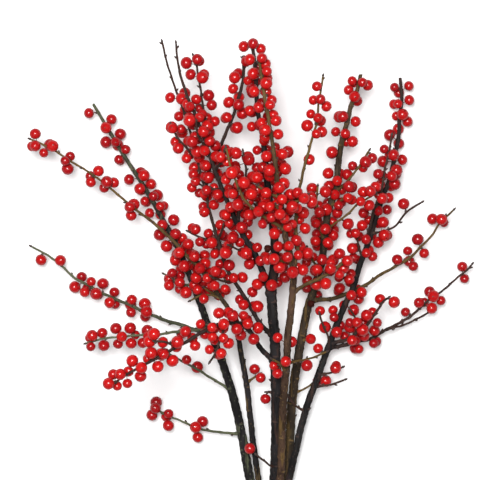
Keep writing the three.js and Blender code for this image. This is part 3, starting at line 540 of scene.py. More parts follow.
def way_out(sample, angle, lean):
    """The direction that leaves a limb at an angle round it and leans towards the limb's tip"""
    along = sample["along"]
    across = unit(np.cross(along, UP))
    over = np.cross(across, along)
    return unit(across * math.cos(angle) + over * math.sin(angle) + along * lean)


def grow_shoot(room, stream, stem, sample, turn):
    """A short fruiting shoot that leaves its stem where there is room"""
    length = stream.between(SHOOT_SHORTEST, SHOOT_LONGEST)
    for attempt in range(TRIES):
        angle = turn + attempt * SHOOT_TURN
        middle = sample["at"] + way_out(sample, angle, LEAN) * (length / 2)
        tip = middle + way_out(sample, angle, LEAN * 2) * (length / 2)
        shoot = branch("shoot", SHOOT_RADIUS, (sample["at"], middle, tip), [SHOOT_FRUIT])
        outer = [point for point in sample_limb(shoot) if point["span"] > SHOOT_CLEAR]
        if all(room.has(stem, point["at"], point["radius"] + SHOOT_ROOM) for point in outer):
            return shoot
    return None


def grow_shoots(room, stream, stem, limb):
    """The shoots of one limb, spiralling round it"""
    low, high = limb["shoots"]
    stretch = [sample for sample in sample_limb(limb) if low <= sample["span"] <= high]
    shoots = []
    following = stretch[0]["length"]
    for sample in stretch:
        if sample["length"] >= following:
            shoot = grow_shoot(room, stream, stem, sample, (len(shoots) + 1) * SPIRAL)
            if shoot:
                shoots.append(shoot)
                take_limb(room, stem, shoot)
            following += SHOOT_STEP
    return shoots


def take_limb(room, stem, limb):
    """Keeps the room of a limb's wood"""
    for sample in sample_limb(limb):
        room.take(stem, sample["at"], sample["radius"])


def place_berry(room, stream, stem, sample, angle):
    """A berry on its stalk, where there is room for it"""
    radius = BERRY_RADIUS * (1 + BERRY_SPREAD * (2 * stream.draw() - 1))
    stalk = stream.between(STALK_SHORTEST, STALK_LONGEST)
    outer = radius * BERRY_FACET
    for attempt in range(TRIES):
        lean = STALK_LEANS[attempt % len(STALK_LEANS)]
        aside = math.ceil(attempt / 2) * (BERRY_TURN if attempt % 2 else -BERRY_TURN)
        way = way_out(sample, angle + aside, lean)
        at = sample["at"] + way * (sample["radius"] + stalk + attempt * STRETCH + radius)
        if room.has(stem, at, outer):
            room.take(stem, at, outer)
            return {"at": at, "radius": radius, "root": sample, "way": way}
    return None


def place_berries(room, stream, stem, limb):
    """The berries of one limb, a cluster at each leaf scar, and the scars that carry them"""
    samples = sample_limb(limb)
    start = 2 * math.pi * stream.draw()
    berries, scars = [], []
    for low, high, most in limb["fruit"]:
        stretch = [sample for sample in samples if low <= sample["span"] <= high]
        following = stretch[0]["length"]
        for sample in stretch:
            if sample["length"] < following:
                continue
            count = max(1, math.floor(most * stream.between(CLUSTER_LEAST, 1) + 0.5))
            turn = start + len(scars) * SPIRAL
            scars.append((sample, turn))
            for place in range(count):
                fan = turn + (place - (count - 1) / 2) * FAN
                berry = place_berry(room, stream, stem, sample, fan)
                if berry:
                    berries.append(berry)
            spread = STEP_SPREAD * (2 * stream.draw() - 1)
            following = sample["length"] + LEAF_STEP * (1 + spread)
    return berries, scars


def resting_berry(room, stem, limb, height):
    """A berry that the bunch lies on, straight under the stem"""
    sample = next(sample for sample in sample_limb(limb) if sample["at"][1] >= height)
    reach = BERRY_RADIUS * BERRY_FACET
    at = np.array((sample["at"][0], sample["at"][1], reach))
    room.take(stem, at, reach)
    return {"at": at, "radius": reach, "root": sample, "way": -UP}


@functools.lru_cache(maxsize=1)
def grown():
    """Every stem with its limbs, shoots, leaf scars and berries"""
    room, stream = Room(), Stream(SEED)
    stems = [
        {"name": name, "limbs": [{**limb, "scars": []} for limb in limbs], "berries": []}
        for name, limbs in STEMS.items()
    ]
    for number, stem in enumerate(stems):
        for limb in stem["limbs"]:
            take_limb(room, number, limb)
    for number, stem in enumerate(stems):
        for limb in [limb for limb in stem["limbs"] if limb["shoots"]]:
            shoots = grow_shoots(room, stream, number, limb)
            stem["limbs"].extend({**shoot, "scars": []} for shoot in shoots)
    for number, stem in enumerate(stems):
        if stem["name"] in RESTING:
            height = RESTING[stem["name"]]
            stem["berries"].append(resting_berry(room, number, stem["limbs"][0], height))
    for number, stem in enumerate(stems):
        for limb in [limb for limb in stem["limbs"] if limb["fruit"]]:
            berries, limb["scars"] = place_berries(room, stream, number, limb)
            stem["berries"].extend(berries)
    return stems


def linear(code):
    """A colour in Blender's own light values, from six hexadecimal digits"""
    parts = [int(code[place : place + 2], 16) / 255 for place in (0, 2, 4)]
    return tuple(
        part / 12.92 if part < 0.04045 else ((part + 0.055) / 1.055) ** 2.4 for part in parts
    )


def length_of(name, description, size, least, most):
    """A length that a user may change, given in millimetres"""
    return FloatProperty(
        name=name, description=description,
        default=size * MM, min=least * MM, max=most * MM, unit="LENGTH",
    )


def share_of(name, description, share, most):
    """A share that a user may change"""
    return FloatProperty(
        name=name, description=description, default=share, min=0, max=most, subtype="FACTOR",
    )


def colour_of(name, description, code):
    """A colour that a user may change"""
    return FloatVectorProperty(
        name=name, description=description, default=linear(code), min=0, max=1, subtype="COLOR",
    )


class WinterberrySizes(bpy.types.PropertyGroup):
    """Sizes of the details that the grown wood, the berries and the tie carry"""

    bark_step: length_of("Bark step", "Wood from one ring of its skin to the next", 1.5, 0.5, 5)
    knot_swell: share_of("Knot swelling", "How much thicker a twig is at a leaf scar", 0.3, 0.6)
    root_flare: share_of("Root flare", "How much thicker a twig is at its foot", 0.75, 1.5)
    crook: length_of("Crook", "How far a twig strays from its smooth line", 0.22, 0, 1.5)
    bud_length: length_of("Bud length", "Length of a winter bud at a leaf scar", 2.5, 0.5, 4)
    stalk_thickness: length_of("Stalk thickness", "A berry's stalk at its middle", 0.75, 0.3, 1.5)
    twine_thickness: length_of("Twine thickness", "The twine that ties the bunch", 2, 1, 3)
    twine_turns: IntProperty(
        name="Twine turns", description="Turns of the twine round the stems",
        default=5, min=2, max=8,
    )


class WinterberryColours(bpy.types.PropertyGroup):
    """Colours of the bunch"""

    # Berries are mixed from deep_berry to berry by ripeness at random and by painted light that grows
    # with height
    berry: colour_of("Berry", "Skin of a fully ripe berry in the light", "b21311")
    deep_berry: colour_of("Deep berry", "Skin of the darker berries", "760a13")
    dried_berry: colour_of("Dried berry", "Skin of a dried berry", "33130f")
    grey_bark: colour_of("Grey bark", "Old bark of the darkest stems", "1e1c1d")
    tan_bark: colour_of("Tan bark", "Old bark of the front stem", "402f25")
    olive_bark: colour_of("Olive bark", "Old bark of the middle stem", "332a22")
    green_twig: colour_of("Green twig", "Young bark of the left stem", "555942")
    tan_twig: colour_of("Tan twig", "Young bark of the long, front and middle stems", "5c4827")
    brown_twig: colour_of("Brown twig", "Young bark of the dark and right stems, and buds", "3b2923")
    cut_wood: colour_of("Cut wood", "Wood where a stem was cut", "d9c59c")
    twine: colour_of("Twine", "Plant fibre of the twine", "b8996a")


def palette(context):
    """The bunch's colours by their names"""
    colours = context.scene.winterberry_colours
    return {name: tuple(getattr(colours, name)) for name in WinterberryColours.__annotations__}


class Wire:
    """A shader socket that takes part in plain arithmetic"""

    def __init__(self, finish, socket):
        self.finish = finish
        self.socket = socket

    def __add__(self, other):
        return self.finish.maths("ADD", self, other)

    def __sub__(self, other):
        return self.finish.maths("SUBTRACT", self, other)

    def __rsub__(self, other):
        return self.finish.maths("SUBTRACT", other, self)

    def __mul__(self, other):
        return self.finish.maths("MULTIPLY", self, other)

    __radd__ = __add__
    __rmul__ = __mul__

    def above(self, low, high):
        """0 below low, 1 above high, and smooth between them"""
        settings = {"interpolation_type": "SMOOTHSTEP"}
        inputs = {"Value": self, "From Min": low, "From Max": high}
        return self.finish.node("ShaderNodeMapRange", settings, inputs)


class Finish:
    """A material, and the few ways in which its nodes are made"""

    def __init__(self, name):
        self.material = bpy.data.materials.new(name)
        self.material.use_nodes = True
        self.tree = self.material.node_tree
        self.tree.nodes.clear()

    def node(self, kind, settings=None, inputs=None, output=0):
        """Adds a node, sets it, and gives or links its inputs; returns one of its outputs"""
        node = self.tree.nodes.new(kind)
        for name, setting in (settings or {}).items():
            setattr(node, name, setting)
        for name, value in (inputs or {}).items():
            if isinstance(value, Wire):
                self.tree.links.new(value.socket, node.inputs[name])
            else:
                node.inputs[name].default_value = value
        return Wire(self, node.outputs[output])

    def maths(self, operation, first, second):
        """A Math node on two values"""
        return self.node("ShaderNodeMath", {"operation": operation}, {0: first, 1: second})

    def mix(self, share, first, second):
        """A colour between two colours"""
        first, second = (
            value if isinstance(value, Wire) else (*value, 1) for value in (first, second)
        )
        inputs = {0: share, 6: first, 7: second}
        return self.node("ShaderNodeMix", {"data_type": "RGBA"}, inputs, 2)

    def shade(self, colour, share):
        """A colour made darker or lighter by a value"""
        parts = {"Red": share, "Green": share, "Blue": share}
        grey = self.node("ShaderNodeCombineColor", None, parts)
        settings = {"data_type": "RGBA", "blend_type": "MULTIPLY"}
        return self.node("ShaderNodeMix", settings, {0: 1.0, 6: colour, 7: grey}, 2)

    def place(self, scale=(1, 1, 1), turn=(0, 0, 0)):
        """Places on the piece, stretched or turned"""
        here = self.node("ShaderNodeTexCoord", output="Object")
        inputs = {"Vector": here, "Scale": scale, "Rotation": turn}
        return self.node("ShaderNodeMapping", None, inputs)

    def noise(self, scale, detail=2.0, stretch=(1, 1, 1), turn=(0, 0, 0)):
        """Uneven patches, from 0 to 1, at a scale to the metre"""
        inputs = {"Vector": self.place(stretch, turn), "Scale": scale, "Detail": detail}
        return self.node("ShaderNodeTexNoise", None, inputs)

    def attribute(self, name):
        """A value that the piece's corners carry"""
        return self.node("ShaderNodeAttribute", {"attribute_name": name}, output="Fac")

    def bump(self, height, distance, strength=1.0):
        """Small relief from a height"""
        inputs = {"Height": height, "Distance": distance, "Strength": strength}
        return self.node("ShaderNodeBump", None, inputs)

    def finish(self, **inputs):
        """Ends the material in a surface shader and returns the material"""
        named = {name.replace("_", " "): value for name, value in inputs.items()}
        surface = self.node("ShaderNodeBsdfPrincipled", None, named)
        end = self.tree.nodes.new("ShaderNodeOutputMaterial")
        self.tree.links.new(surface.socket, end.inputs["Surface"])
        return self.material


def tinted(colour, times, more=0.0):
    """A colour with its light made stronger, or weaker where times is below 1"""
    return tuple(min(1, part * times + more) for part in colour)


def bark_finish(name, old, young):
    """Bark: dark and cracked lengthwise on old wood, smoother and browner on young twigs"""
    finish = Finish(name)
    youth = finish.attribute("youth")
    scar = finish.attribute("scar")
    patches = finish.noise(70.0, 3.0, (1, 0.45, 1))
    grain = finish.noise(420.0, 3.0, (1, 0.16, 1))
    streaks = finish.noise(240.0, 2.0, (1, 0.07, 1))
    fleck = finish.noise(900.0)
    film = finish.noise(38.0, 2.0, (1, 0.6, 1), (0.4, 0.2, 0.9)).above(0.52, 0.68)
    aged = finish.mix(patches.above(0.32, 0.7), tinted(old, 0.5), tinted(old, 1.35))
    aged = finish.mix(streaks.above(0.56, 0.68) * 0.6, aged, young)
    green = (old[0] * 1.1, old[1] * 1.25, old[2] * 1.05)
    aged = finish.mix(film * 0.4, aged, green)
    fresh = finish.mix(patches.above(0.3, 0.75), tinted(young, 0.55), young)
    bark = finish.mix(youth.above(0.1, 0.95), aged, fresh)
    age = 1 - 0.85 * youth
    cracks = grain.above(0.54, 0.66) * age
    bark = finish.shade(bark, 1.08 - 0.55 * cracks)
    spots = finish.node(
        "ShaderNodeTexVoronoi", None, {"Vector": finish.place((1, 0.7, 1)), "Scale": 420.0}
    )
    pores = 1 - spots.above(0.16, 0.26)
    pale = tinted(young, 1.7, 0.01)
    bark = finish.mix(pores * 0.3, bark, pale)
    bark = finish.mix(scar.above(0.3, 0.9) * 0.5, bark, pale)
    height = patches * 0.25 + grain * age * 0.6 + fleck * 0.15 + pores * 0.35 - cracks * 0.7
    return finish.finish(
        Base_Color=bark,
        Roughness=0.82 - 0.2 * youth + 0.12 * (fleck - 0.5),
        Normal=finish.bump(height, 0.3 * MM, 0.8),
        Specular_IOR_Level=0.1,
    )


def cut_finish(name, colour):
    """Freshly cut wood: pale, with faint fibres"""
    finish = Finish(name)
    fibres = finish.noise(1600.0)
    damp = finish.noise(260.0)
    wood = finish.shade((*colour, 1), 0.82 + 0.36 * fibres)
    return finish.finish(
        Base_Color=finish.mix(damp.above(0.55, 0.75) * 0.5, wood, tinted(colour, 0.62)),
        Roughness=0.78 + 0.1 * fibres,
        Normal=finish.bump(fibres, 0.1 * MM),
    )


def bud_finish(name, colour):
    """Winter buds: dull brown scales"""
    finish = Finish(name)
    scales = finish.noise(1500.0, 2.0, (1, 1.6, 1))
    return finish.finish(
        Base_Color=finish.mix(scales.above(0.35, 0.65), tinted(colour, 0.5), colour),
        Roughness=0.62 + 0.15 * scales,
        Normal=finish.bump(scales, 0.2 * MM),
    )


def stalk_finish(name, berry, bark):
    """Berry stalks: olive brown at the twig, flushed with red at the berry"""
    finish = Finish(name)
    patches = finish.noise(700.0)
    root = (bark[0] * 0.8, bark[1] * 0.95, bark[2] * 0.6)
    flush = tuple(0.35 * red + 0.65 * brown for red, brown in zip(berry, root))
    skin = finish.mix(finish.attribute("reach").above(0.3, 1.0), root, flush)
    return finish.finish(
        Base_Color=finish.shade(skin, 0.75 + 0.5 * patches),
        Roughness=0.6 + 0.1 * patches,
        Normal=finish.bump(patches, 0.1 * MM),
    )


def berry_finish(name, ripe, deep, dried):
    """Berry skin: glossy red with a dark dot where the flower was, dull where it has dried"""
    finish = Finish(name)
    tone = finish.attribute("tone")
    blossom = finish.attribute("blossom").above(0.86, 0.97)
    withered = 1 - tone.above(0.04, 0.12)
    patches = finish.noise(160.0)
    fleck = finish.noise(1400.0)
    wrinkles = finish.noise(750.0, 3.0, (1, 1, 2.2))
    # The tone mixes deep to ripe red: ripeness at random, plus painted light that grows with a berry's
    # height
    skin = finish.mix(tone.above(0.1, 1.0), deep, ripe)
    skin = finish.shade(skin, 0.88 + 0.24 * patches)
    skin = finish.mix(withered, skin, dried)
    skin = finish.mix(blossom * 0.8, skin, dried)
    rough = 0.3 + 0.08 * fleck + 0.06 * patches
    height = fleck * 0.03 + wrinkles * withered * 3
    return finish.finish(
        Base_Color=skin,
        Roughness=rough + 0.4 * withered + 0.4 * blossom,
        Normal=finish.bump(height, 0.2 * MM),
        Coat_Weight=0.085 - 0.08 * withered,
        Coat_Roughness=0.17,
        Coat_IOR=4.0,
        Specular_IOR_Level=0.03,
    )


def twine_finish(name, colour):
    """Plant-fibre twine: fine fibres along its strands"""
    finish = Finish(name)
    places = {"X": finish.attribute("length"), "Y": finish.attribute("around") * 7, "Z": 0.0}
    where = finish.node("ShaderNodeCombineXYZ", None, places)
    inputs = {"Vector": where, "Scale": 1.6, "Detail": 4.0}
    fibres = finish.node("ShaderNodeTexNoise", None, inputs)
    patches = finish.noise(220.0)
    strands = finish.mix(fibres.above(0.32, 0.68), tinted(colour, 0.5), tinted(colour, 1.3))
    return finish.finish(
        Base_Color=finish.shade(strands, 0.8 + 0.4 * patches),
        Roughness=0.88 + 0.08 * (fibres - 0.5),
        Normal=finish.bump(fibres, 0.3 * MM),
        Sheen_Weight=0.25,
    )


def floor_finish(name):
    """A plain pale floor"""
    return Finish(name).finish(
        Base_Color=(0.76, 0.76, 0.76, 1), Roughness=0.9, Specular_IOR_Level=0.1,
        Emission_Color=(1, 1, 1, 1), Emission_Strength=0.12,
    )


def deselect():
    """Leaves nothing selected"""
    bpy.ops.object.select_all(action="DESELECT")


def activate(piece):
    """Selects one piece alone"""
    deselect()
    piece.select_set(True)
    bpy.context.view_layer.objects.active = piece


def edit(piece, chosen, operator, **options):
    """Runs an edit-mode operator on the corners of a piece that a test picks"""
    activate(piece)
    bpy.ops.object.mode_set(mode="EDIT")
    bpy.ops.mesh.select_mode(type="VERT")
    bpy.ops.mesh.select_all(action="DESELECT")
    bpy.ops.object.mode_set(mode="OBJECT")
    for corner in piece.data.vertices:
        corner.select = chosen(corner.co)
    bpy.ops.object.mode_set(mode="EDIT")
    operator(**options)
    bpy.ops.object.mode_set(mode="OBJECT")


def everywhere(_):
    """A test that picks every corner"""
    return True


def at_height(height):
    """A test that picks the corners at a height"""
    return lambda corner: abs(corner.z - height) < 0.001


def mark(piece, name, values):
    """Gives every corner of a piece a value that its material reads"""
    attribute = piece.data.attributes.new(name, "FLOAT", "POINT")
    attribute.data.foreach_set("value", np.asarray(values, np.float32))


def copy_of(form, matrix, **values):
    """A copy of a finished form, with its own mesh, moved to its place"""
    copy = form.copy()
    copy.data = form.data.copy()
    copy.data.transform(matrix)
    for name, value in values.items():
        mark(copy, name, [value] * len(copy.data.vertices))
    bpy.context.collection.objects.link(copy)
    return copy


def join(parts):
    """Makes one piece of several"""
    deselect()
    for part in parts:
        part.select_set(True)
    bpy.context.view_layer.objects.active = parts[0]
    bpy.ops.object.join()
    return bpy.context.view_layer.objects.active


def discard(*forms):
    """Removes forms that were only there to be copied"""
    for form in forms:
        bpy.data.objects.remove(form)


def settle(piece, name, node):
    """Names a finished piece, makes it ride on the root body and hides the part that it stands for"""
    if not piece.data.polygons:
        raise RuntimeError(f"{name} has no faces")
    piece.name = piece.data.name = name
    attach(piece, "root")
    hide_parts(node)


def posed(at, way, spin, size):
    """The move that takes a form's +Z to a direction at a place, spun about it and scaled"""
    turn = Vector(way).to_track_quat("Z", "Y").to_matrix().to_4x4()
    scale = Matrix.Diagonal((*size, 1))
    return Matrix.Translation(Vector(at) * MM) @ turn @ Matrix.Rotation(spin, 4, "Z") @ scale


def tube(lines, sides):
    """Closed round tubes along lines of places and radii, with the faces outwards"""
    curve = bpy.data.curves.new("line", "CURVE")
    curve.dimensions = "3D"
    curve.bevel_depth = MM
    curve.bevel_resolution = sides // 2 - 2
    for line in lines:
        spline = curve.splines.new("POLY")
        spline.points.add(len(line) - 1)
        places = np.column_stack((line[:, :3] * MM, np.ones(len(line))))
        spline.points.foreach_set("co", places.ravel())
        spline.points.foreach_set("radius", line[:, 3])
    piece = bpy.data.objects.new("line", curve)
    bpy.context.collection.objects.link(piece)
    activate(piece)
    bpy.ops.object.convert(target="MESH")
    piece = bpy.context.view_layer.objects.active
    edit(piece, everywhere, bpy.ops.mesh.fill_holes, sides=0)
    edit(piece, everywhere, bpy.ops.mesh.normals_make_consistent, inside=False)
    return piece


def bare_scars(limb, stream):
    """Leaf scars on the stretches of a limb that carry no berries"""
    fruited = [sample["length"] for sample, _ in limb["scars"]]
    turn = stream.between(0, 2 * math.pi)
    following = BUD_STEP * stream.between(*BUD_FIRST)
    scars = []
    for sample in sample_limb(limb)[1:-1]:
        if sample["length"] < following:
            continue
        if all(abs(sample["length"] - length) > BUD_CLEAR * BUD_STEP for length in fruited):
            scars.append((sample, turn))
        turn += SPIRAL
        following = sample["length"] + BUD_STEP * stream.between(*BUD_NEXT)
    return scars


def stray(lengths, reach, stream):
    """How far a limb strays to one side of its smooth line, from its root to its tip"""
    long_wave, short_wave = stream.between(*LONG_CROOKS), stream.between(*SHORT_CROOKS)
    first, second = stream.between(*ANY_TURN), stream.between(*ANY_TURN)
    waves = np.sin(lengths * 2 * math.pi / long_wave + first)
    waves = waves + SHORT_SHARE * np.sin(lengths * 2 * math.pi / short_wave + second)
    settled = np.minimum(1, np.minimum(lengths, lengths[-1] - lengths) / STRAIGHT_END)
    return reach * waves * settled


def wood_line(limb, sizes, stream):
    """Where a limb's skin has its rings: place, way, radius and length from the root"""
    samples = sample_limb(limb)
    points = limb["points"]
    shares = np.linspace(0, 1, len(samples))
    total = samples[-1]["length"]
    rings = max(6, math.ceil(total * MM / sizes.bark_step))
    lengths = np.linspace(0, total, rings + 1)
    places = np.interp(lengths, [sample["length"] for sample in samples], shares)
    line = np.array([curve_point(points, place) for place in places])
    ways = np.array([curve_way(points, place) for place in places])
    across = np.cross(ways, UP)
    across /= np.linalg.norm(across, axis=1)[:, None]
    over = np.cross(across, ways)
    reach = sizes.crook / MM * min(1, CROOKED_TO / limb["radius"][0])
    line += across * stray(lengths, reach, stream)[:, None]
    line += over * stray(lengths, reach, stream)[:, None]
    radii = np.maximum(thickness(limb, places), THINNEST)
    radii *= 1 + UNEVENNESS * np.sin(lengths * UNEVEN_TURN + stream.between(*ANY_TURN))
    return line, ways, radii, lengths


def wood_skin(limb, is_main, is_cut, sizes, stream, materials):
    """One limb's wood, with its swellings, its root flare and its cut ends"""
    line, ways, radii, lengths = wood_line(limb, sizes, stream)
    if not is_main:
        past = np.maximum(0, lengths - limb["parent"])
        radii = radii * (1 + sizes.root_flare * np.exp(-past / FLARE_REACH))
    if not is_cut:
        radii = radii * np.interp(lengths[-1] - lengths, *TIP_TAPER)
    ends = [(0, -1)] if is_main else []
    ends += [(-1, 1)] if is_cut else []
    for end, side in ends:
        beyond = 0 if end == 0 else len(line)
        spare = line[end] + ways[end] * side * SPARE_END
        line = np.insert(line, beyond, spare, axis=0)
        ways = np.insert(ways, beyond, ways[end], axis=0)
        radii = np.insert(radii, beyond, radii[end])
        lengths = np.insert(lengths, beyond, lengths[end])
    sides = WOOD_SIDES if radii.max() > TWIG_WOOD else TWIG_SIDES
    piece = tube([np.column_stack((line, radii))], sides)
    swell_scars(piece, limb, is_main, sizes, line, radii, lengths)
    for material in materials:
        piece.data.materials.append(material)
    for end, side in ends:
        ring = 1 if end == 0 else -2
        lean = unit(np.cross(ways[ring], UP)) * stream.between(-CUT_SLANT, CUT_SLANT)
        tilt = UP * stream.between(-CUT_TILT, CUT_TILT)
        normal = Vector(unit(ways[ring] * side + lean + tilt))
        cut_off(piece, Vector(line[ring]) * MM, normal, float(radii[ring]) * MM)
    return piece


def swell_scars(piece, limb, is_main, sizes, line, radii, lengths):
    """Swells a limb's skin at its leaf scars, and marks where it is scarred and where young"""
    sides = len(piece.data.vertices) // len(line)
    corners = np.empty(len(piece.data.vertices) * 3)
    piece.data.vertices.foreach_get("co", corners)
    corners = corners.reshape(-1, 3) / MM
    along = np.repeat(lengths, sides)
    outward = (corners - np.repeat(line, sides, axis=0)) / np.repeat(radii, sides)[:, None]
    swell = np.zeros(len(corners))
    scar = np.zeros(len(corners))
    for sample, turn in limb["scars"] + limb["bare"]:
        near = np.exp(-(((along - sample["length"]) / SCAR_REACH) ** 2))
        side = np.clip(outward @ way_out(sample, turn, 0), 0, 1)
        swell += near * lerp(SCAR_ALL_ROUND, 1, side)
        scar += near * side**2
    if not is_main:
        much, out, reach = FORK_SCAR
        scar += much * np.exp(-np.abs(along - limb["parent"] - out) / reach)
    swell = np.minimum(swell, SCAR_MOST) * np.repeat(np.minimum(radii, SWOLLEN), sides)
    corners += outward * swell[:, None] * sizes.knot_swell
    piece.data.vertices.foreach_set("co", (corners * MM).ravel())
    youth = np.clip((OLD_WOOD - radii) / (OLD_WOOD - YOUNG_WOOD), 0, 1)
    mark(piece, "youth", np.repeat(youth, sides))
    mark(piece, "scar", np.minimum(scar, 1))


def cut_off(piece, place, normal, radius):
    """Cuts a limb's end off and gives the cut its ring of bark, its wood and its pith"""
    edit(
        piece, everywhere, bpy.ops.mesh.bisect,
        plane_co=place, plane_no=normal, use_fill=True, clear_outer=True,
    )
    for inset, material in CUT_RINGS:
        corners = piece.data.vertices
        rim = {tuple(corners[corner].co) for corner in cut_face(piece, place, normal).vertices}
        inset *= radius
        edit(piece, lambda corner: tuple(corner) in rim, bpy.ops.mesh.inset, thickness=inset)
        cut_face(piece, place, normal).material_index = material


def cut_face(piece, place, normal):
    """The face in the middle of a cut: the nearest one that faces its way"""
    return max(
        piece.data.polygons,
        key=lambda face: face.normal.dot(normal) - (face.center - place).length / MM,
    )


def parent_radius(limb, limbs):
    """How thick the stem is where a limb leaves it"""
    others = [sample for other in limbs if other is not limb for sample in sample_limb(other)[2:]]
    nearest = min(others, key=lambda sample: math.dist(limb["points"][0], sample["at"]))
    return nearest["radius"]


def bud_form(length):
    """A winter bud: a small pointed egg that stands on its base"""
    bpy.ops.mesh.primitive_uv_sphere_add(segments=8, ring_count=5, radius=length / 2)
    bud = bpy.context.object
    edit(bud, everywhere, bpy.ops.transform.resize, value=(0.72, 0.72, 1))
    edit(
        bud, lambda corner: corner.z > 0.15 * length, bpy.ops.transform.resize,
        value=(0.75, 0.75, 1.15), center_override=(0, 0, 0),
    )
    edit(bud, everywhere, bpy.ops.transform.translate, value=(0, 0, 0.35 * length))
    bpy.ops.object.shade_smooth()
    return bud


def stalk_form():
    """A stalk of one metre by one metre, from its foot in the bark to its cup under the berry"""
    bpy.ops.mesh.primitive_cylinder_add(vertices=6, radius=0.5, depth=1, location=(0, 0, 0.5))
    stalk = bpy.context.object
    bpy.ops.object.transform_apply(location=True, rotation=True, scale=True)
    for height, wider in STALK_RINGS:
        if 0 < height < 1:
            level = {"plane_co": (0, 0, height), "plane_no": (0, 0, 1)}
            edit(stalk, everywhere, bpy.ops.mesh.bisect, **level)
        edit(stalk, at_height(height), bpy.ops.transform.resize, value=(wider, wider, 1))
    mark(stalk, "reach", [corner.co.z for corner in stalk.data.vertices])
    bpy.ops.object.shade_smooth()
    return stalk


def berry_form():
    """A berry with a radius of one metre: a dip at the stalk, a dark point at the blossom end"""
    bpy.ops.mesh.primitive_uv_sphere_add(segments=12, ring_count=len(BERRY_PROFILE) + 1, radius=1)
    berry = bpy.context.object
    heights = {round(corner.co.z, 4) for corner in berry.data.vertices}
    for row, (width, height) in zip(sorted(heights, reverse=True)[1:-1], BERRY_PROFILE):
        in_row = at_height(row)
        wider = width / math.sqrt(1 - row * row)
        edit(berry, in_row, bpy.ops.transform.resize, value=(wider, wider, 1))
        for corner in berry.data.vertices:
            if in_row(corner.co):
                corner.co.z = height
    dip = 1 + BERRY_PROFILE[-1][1] + BERRY_STEM_DIP
    edit(berry, at_height(-1), bpy.ops.transform.translate, value=(0, 0, dip))
    mark(berry, "blossom", [corner.co.z > BLOSSOM_FROM for corner in berry.data.vertices])
    bpy.ops.object.shade_smooth()
    return berry


def dried_form(berry):
    """A smaller berry, shrunk in on itself in wrinkles"""
    dried = copy_of(berry, Matrix.Diagonal((*DRIED_SIZE, 1)))
    wrinkles = {"offset": DRIED_WRINKLES, "normal": 0.8, "seed": 4}
    edit(dried, everywhere, bpy.ops.transform.vertex_random, **wrinkles)
    return dried


class WINTERBERRY_OT_wood(bpy.types.Operator):
    """Grow the bark and wood of every stem, with its knots, forks and cut ends"""

    bl_idname = "winterberry.wood"
    bl_label = "Wood"

    def execute(self, context):
        """Makes one piece of wood for each stem"""
        sizes = context.scene.winterberry_sizes
        colours = palette(context)
        cut = cut_finish("cut_wood", colours["cut_wood"])
        pith = cut_finish("pith", tinted(colours["cut_wood"], PITH_SHADE))
        stream = Stream(SEED + 1)
        for stem in grown():
            old, young = BARKS[stem["name"]]
            bark = bark_finish(f"{stem['name']}_bark", colours[old], colours[young])
            skins = []
            for limb in stem["limbs"]:
                is_main = limb["name"] == "main"
                is_cut = (stem["name"], limb["name"]) in CUT_TIPS
                limb["bare"] = bare_scars(limb, stream)
                if not is_main:
                    limb["parent"] = parent_radius(limb, stem["limbs"])
                skins.append(wood_skin(limb, is_main, is_cut, sizes, stream, (bark, cut, pith)))
            wood = join(skins)
            activate(wood)
            bpy.ops.object.shade_smooth_by_angle(angle=SMOOTH_ANGLE)
            settle(wood, f"{stem['name']}_wood", stem["name"])
        return {"FINISHED"}


class WINTERBERRY_OT_buds(bpy.types.Operator):
    """Set a winter bud at each leaf scar of the thinner wood and on each grown tip"""

    bl_idname = "winterberry.buds"
    bl_label = "Buds"

    def execute(self, context):
        """Makes one piece of buds for each stem"""
        form = bud_form(context.scene.winterberry_sizes.bud_length)
        form.data.materials.append(bud_finish("bud_scales", palette(context)["brown_twig"]))
        stream = Stream(SEED + 2)
        for stem in grown():
            buds = []
            for limb in stem["limbs"]:
                for sample, turn in limb["scars"] + limb["bare"]:
                    kept = sample["at"][1] > BUD_HEIGHT and stream.draw() < BUD_KEPT
                    if sample["radius"] > BUD_WOOD and not kept:
                        continue
                    side = way_out(sample, turn, 0)
                    at = sample["at"] + side * sample["radius"] * BUD_FOOT
                    size = (stream.between(*BUD_SIZES),) * 3
                    lean = way_out(sample, turn, BUD_LEAN)
                    buds.append(copy_of(form, posed(at, lean, stream.between(*ANY_TURN), size)))
                if (stem["name"], limb["name"]) not in CUT_TIPS:
                    tip = sample_limb(limb)[-1]
                    size = (TIP_BUD_WIDTH, TIP_BUD_WIDTH, stream.between(*TIP_BUD_LENGTHS))
                    at = tip["at"] - tip["along"] * TIP_BUD_SUNK
                    buds.append(copy_of(form, posed(at, tip["along"], 0, size)))
            settle(join(buds), f"{stem['name']}_buds", stem["name"])
        discard(form)
        return {"FINISHED"}


class WINTERBERRY_OT_stalks(bpy.types.Operator):
    """Put a short stalk between the twig and each berry"""

    bl_idname = "winterberry.stalks"
    bl_label = "Berry stalks"

    def execute(self, context):
        """Makes one piece of stalks for each stem"""
        thick = context.scene.winterberry_sizes.stalk_thickness
        colours = palette(context)
        finish = stalk_finish("stalk_skin", colours["berry"], colours["brown_twig"])
        form = stalk_form()
        form.data.materials.append(finish)
        stream = Stream(SEED + 3)
        for stem in grown():
            stalks = []
            for berry in stem["berries"]:
                sunk = berry["root"]["radius"] * STALK_FOOT
                foot = berry["root"]["at"] + berry["way"] * sunk
                top = berry["at"] - berry["way"] * berry["radius"] * STALK_REACH
                width = thick * stream.between(*STALK_WIDTHS)
                size = (width, width, math.dist(foot, top) * MM)
                stalks.append(copy_of(form, posed(foot, berry["way"], 0, size)))
            settle(join(stalks), f"{stem['name']}_stalks", stem["name"])
        discard(form)
        return {"FINISHED"}


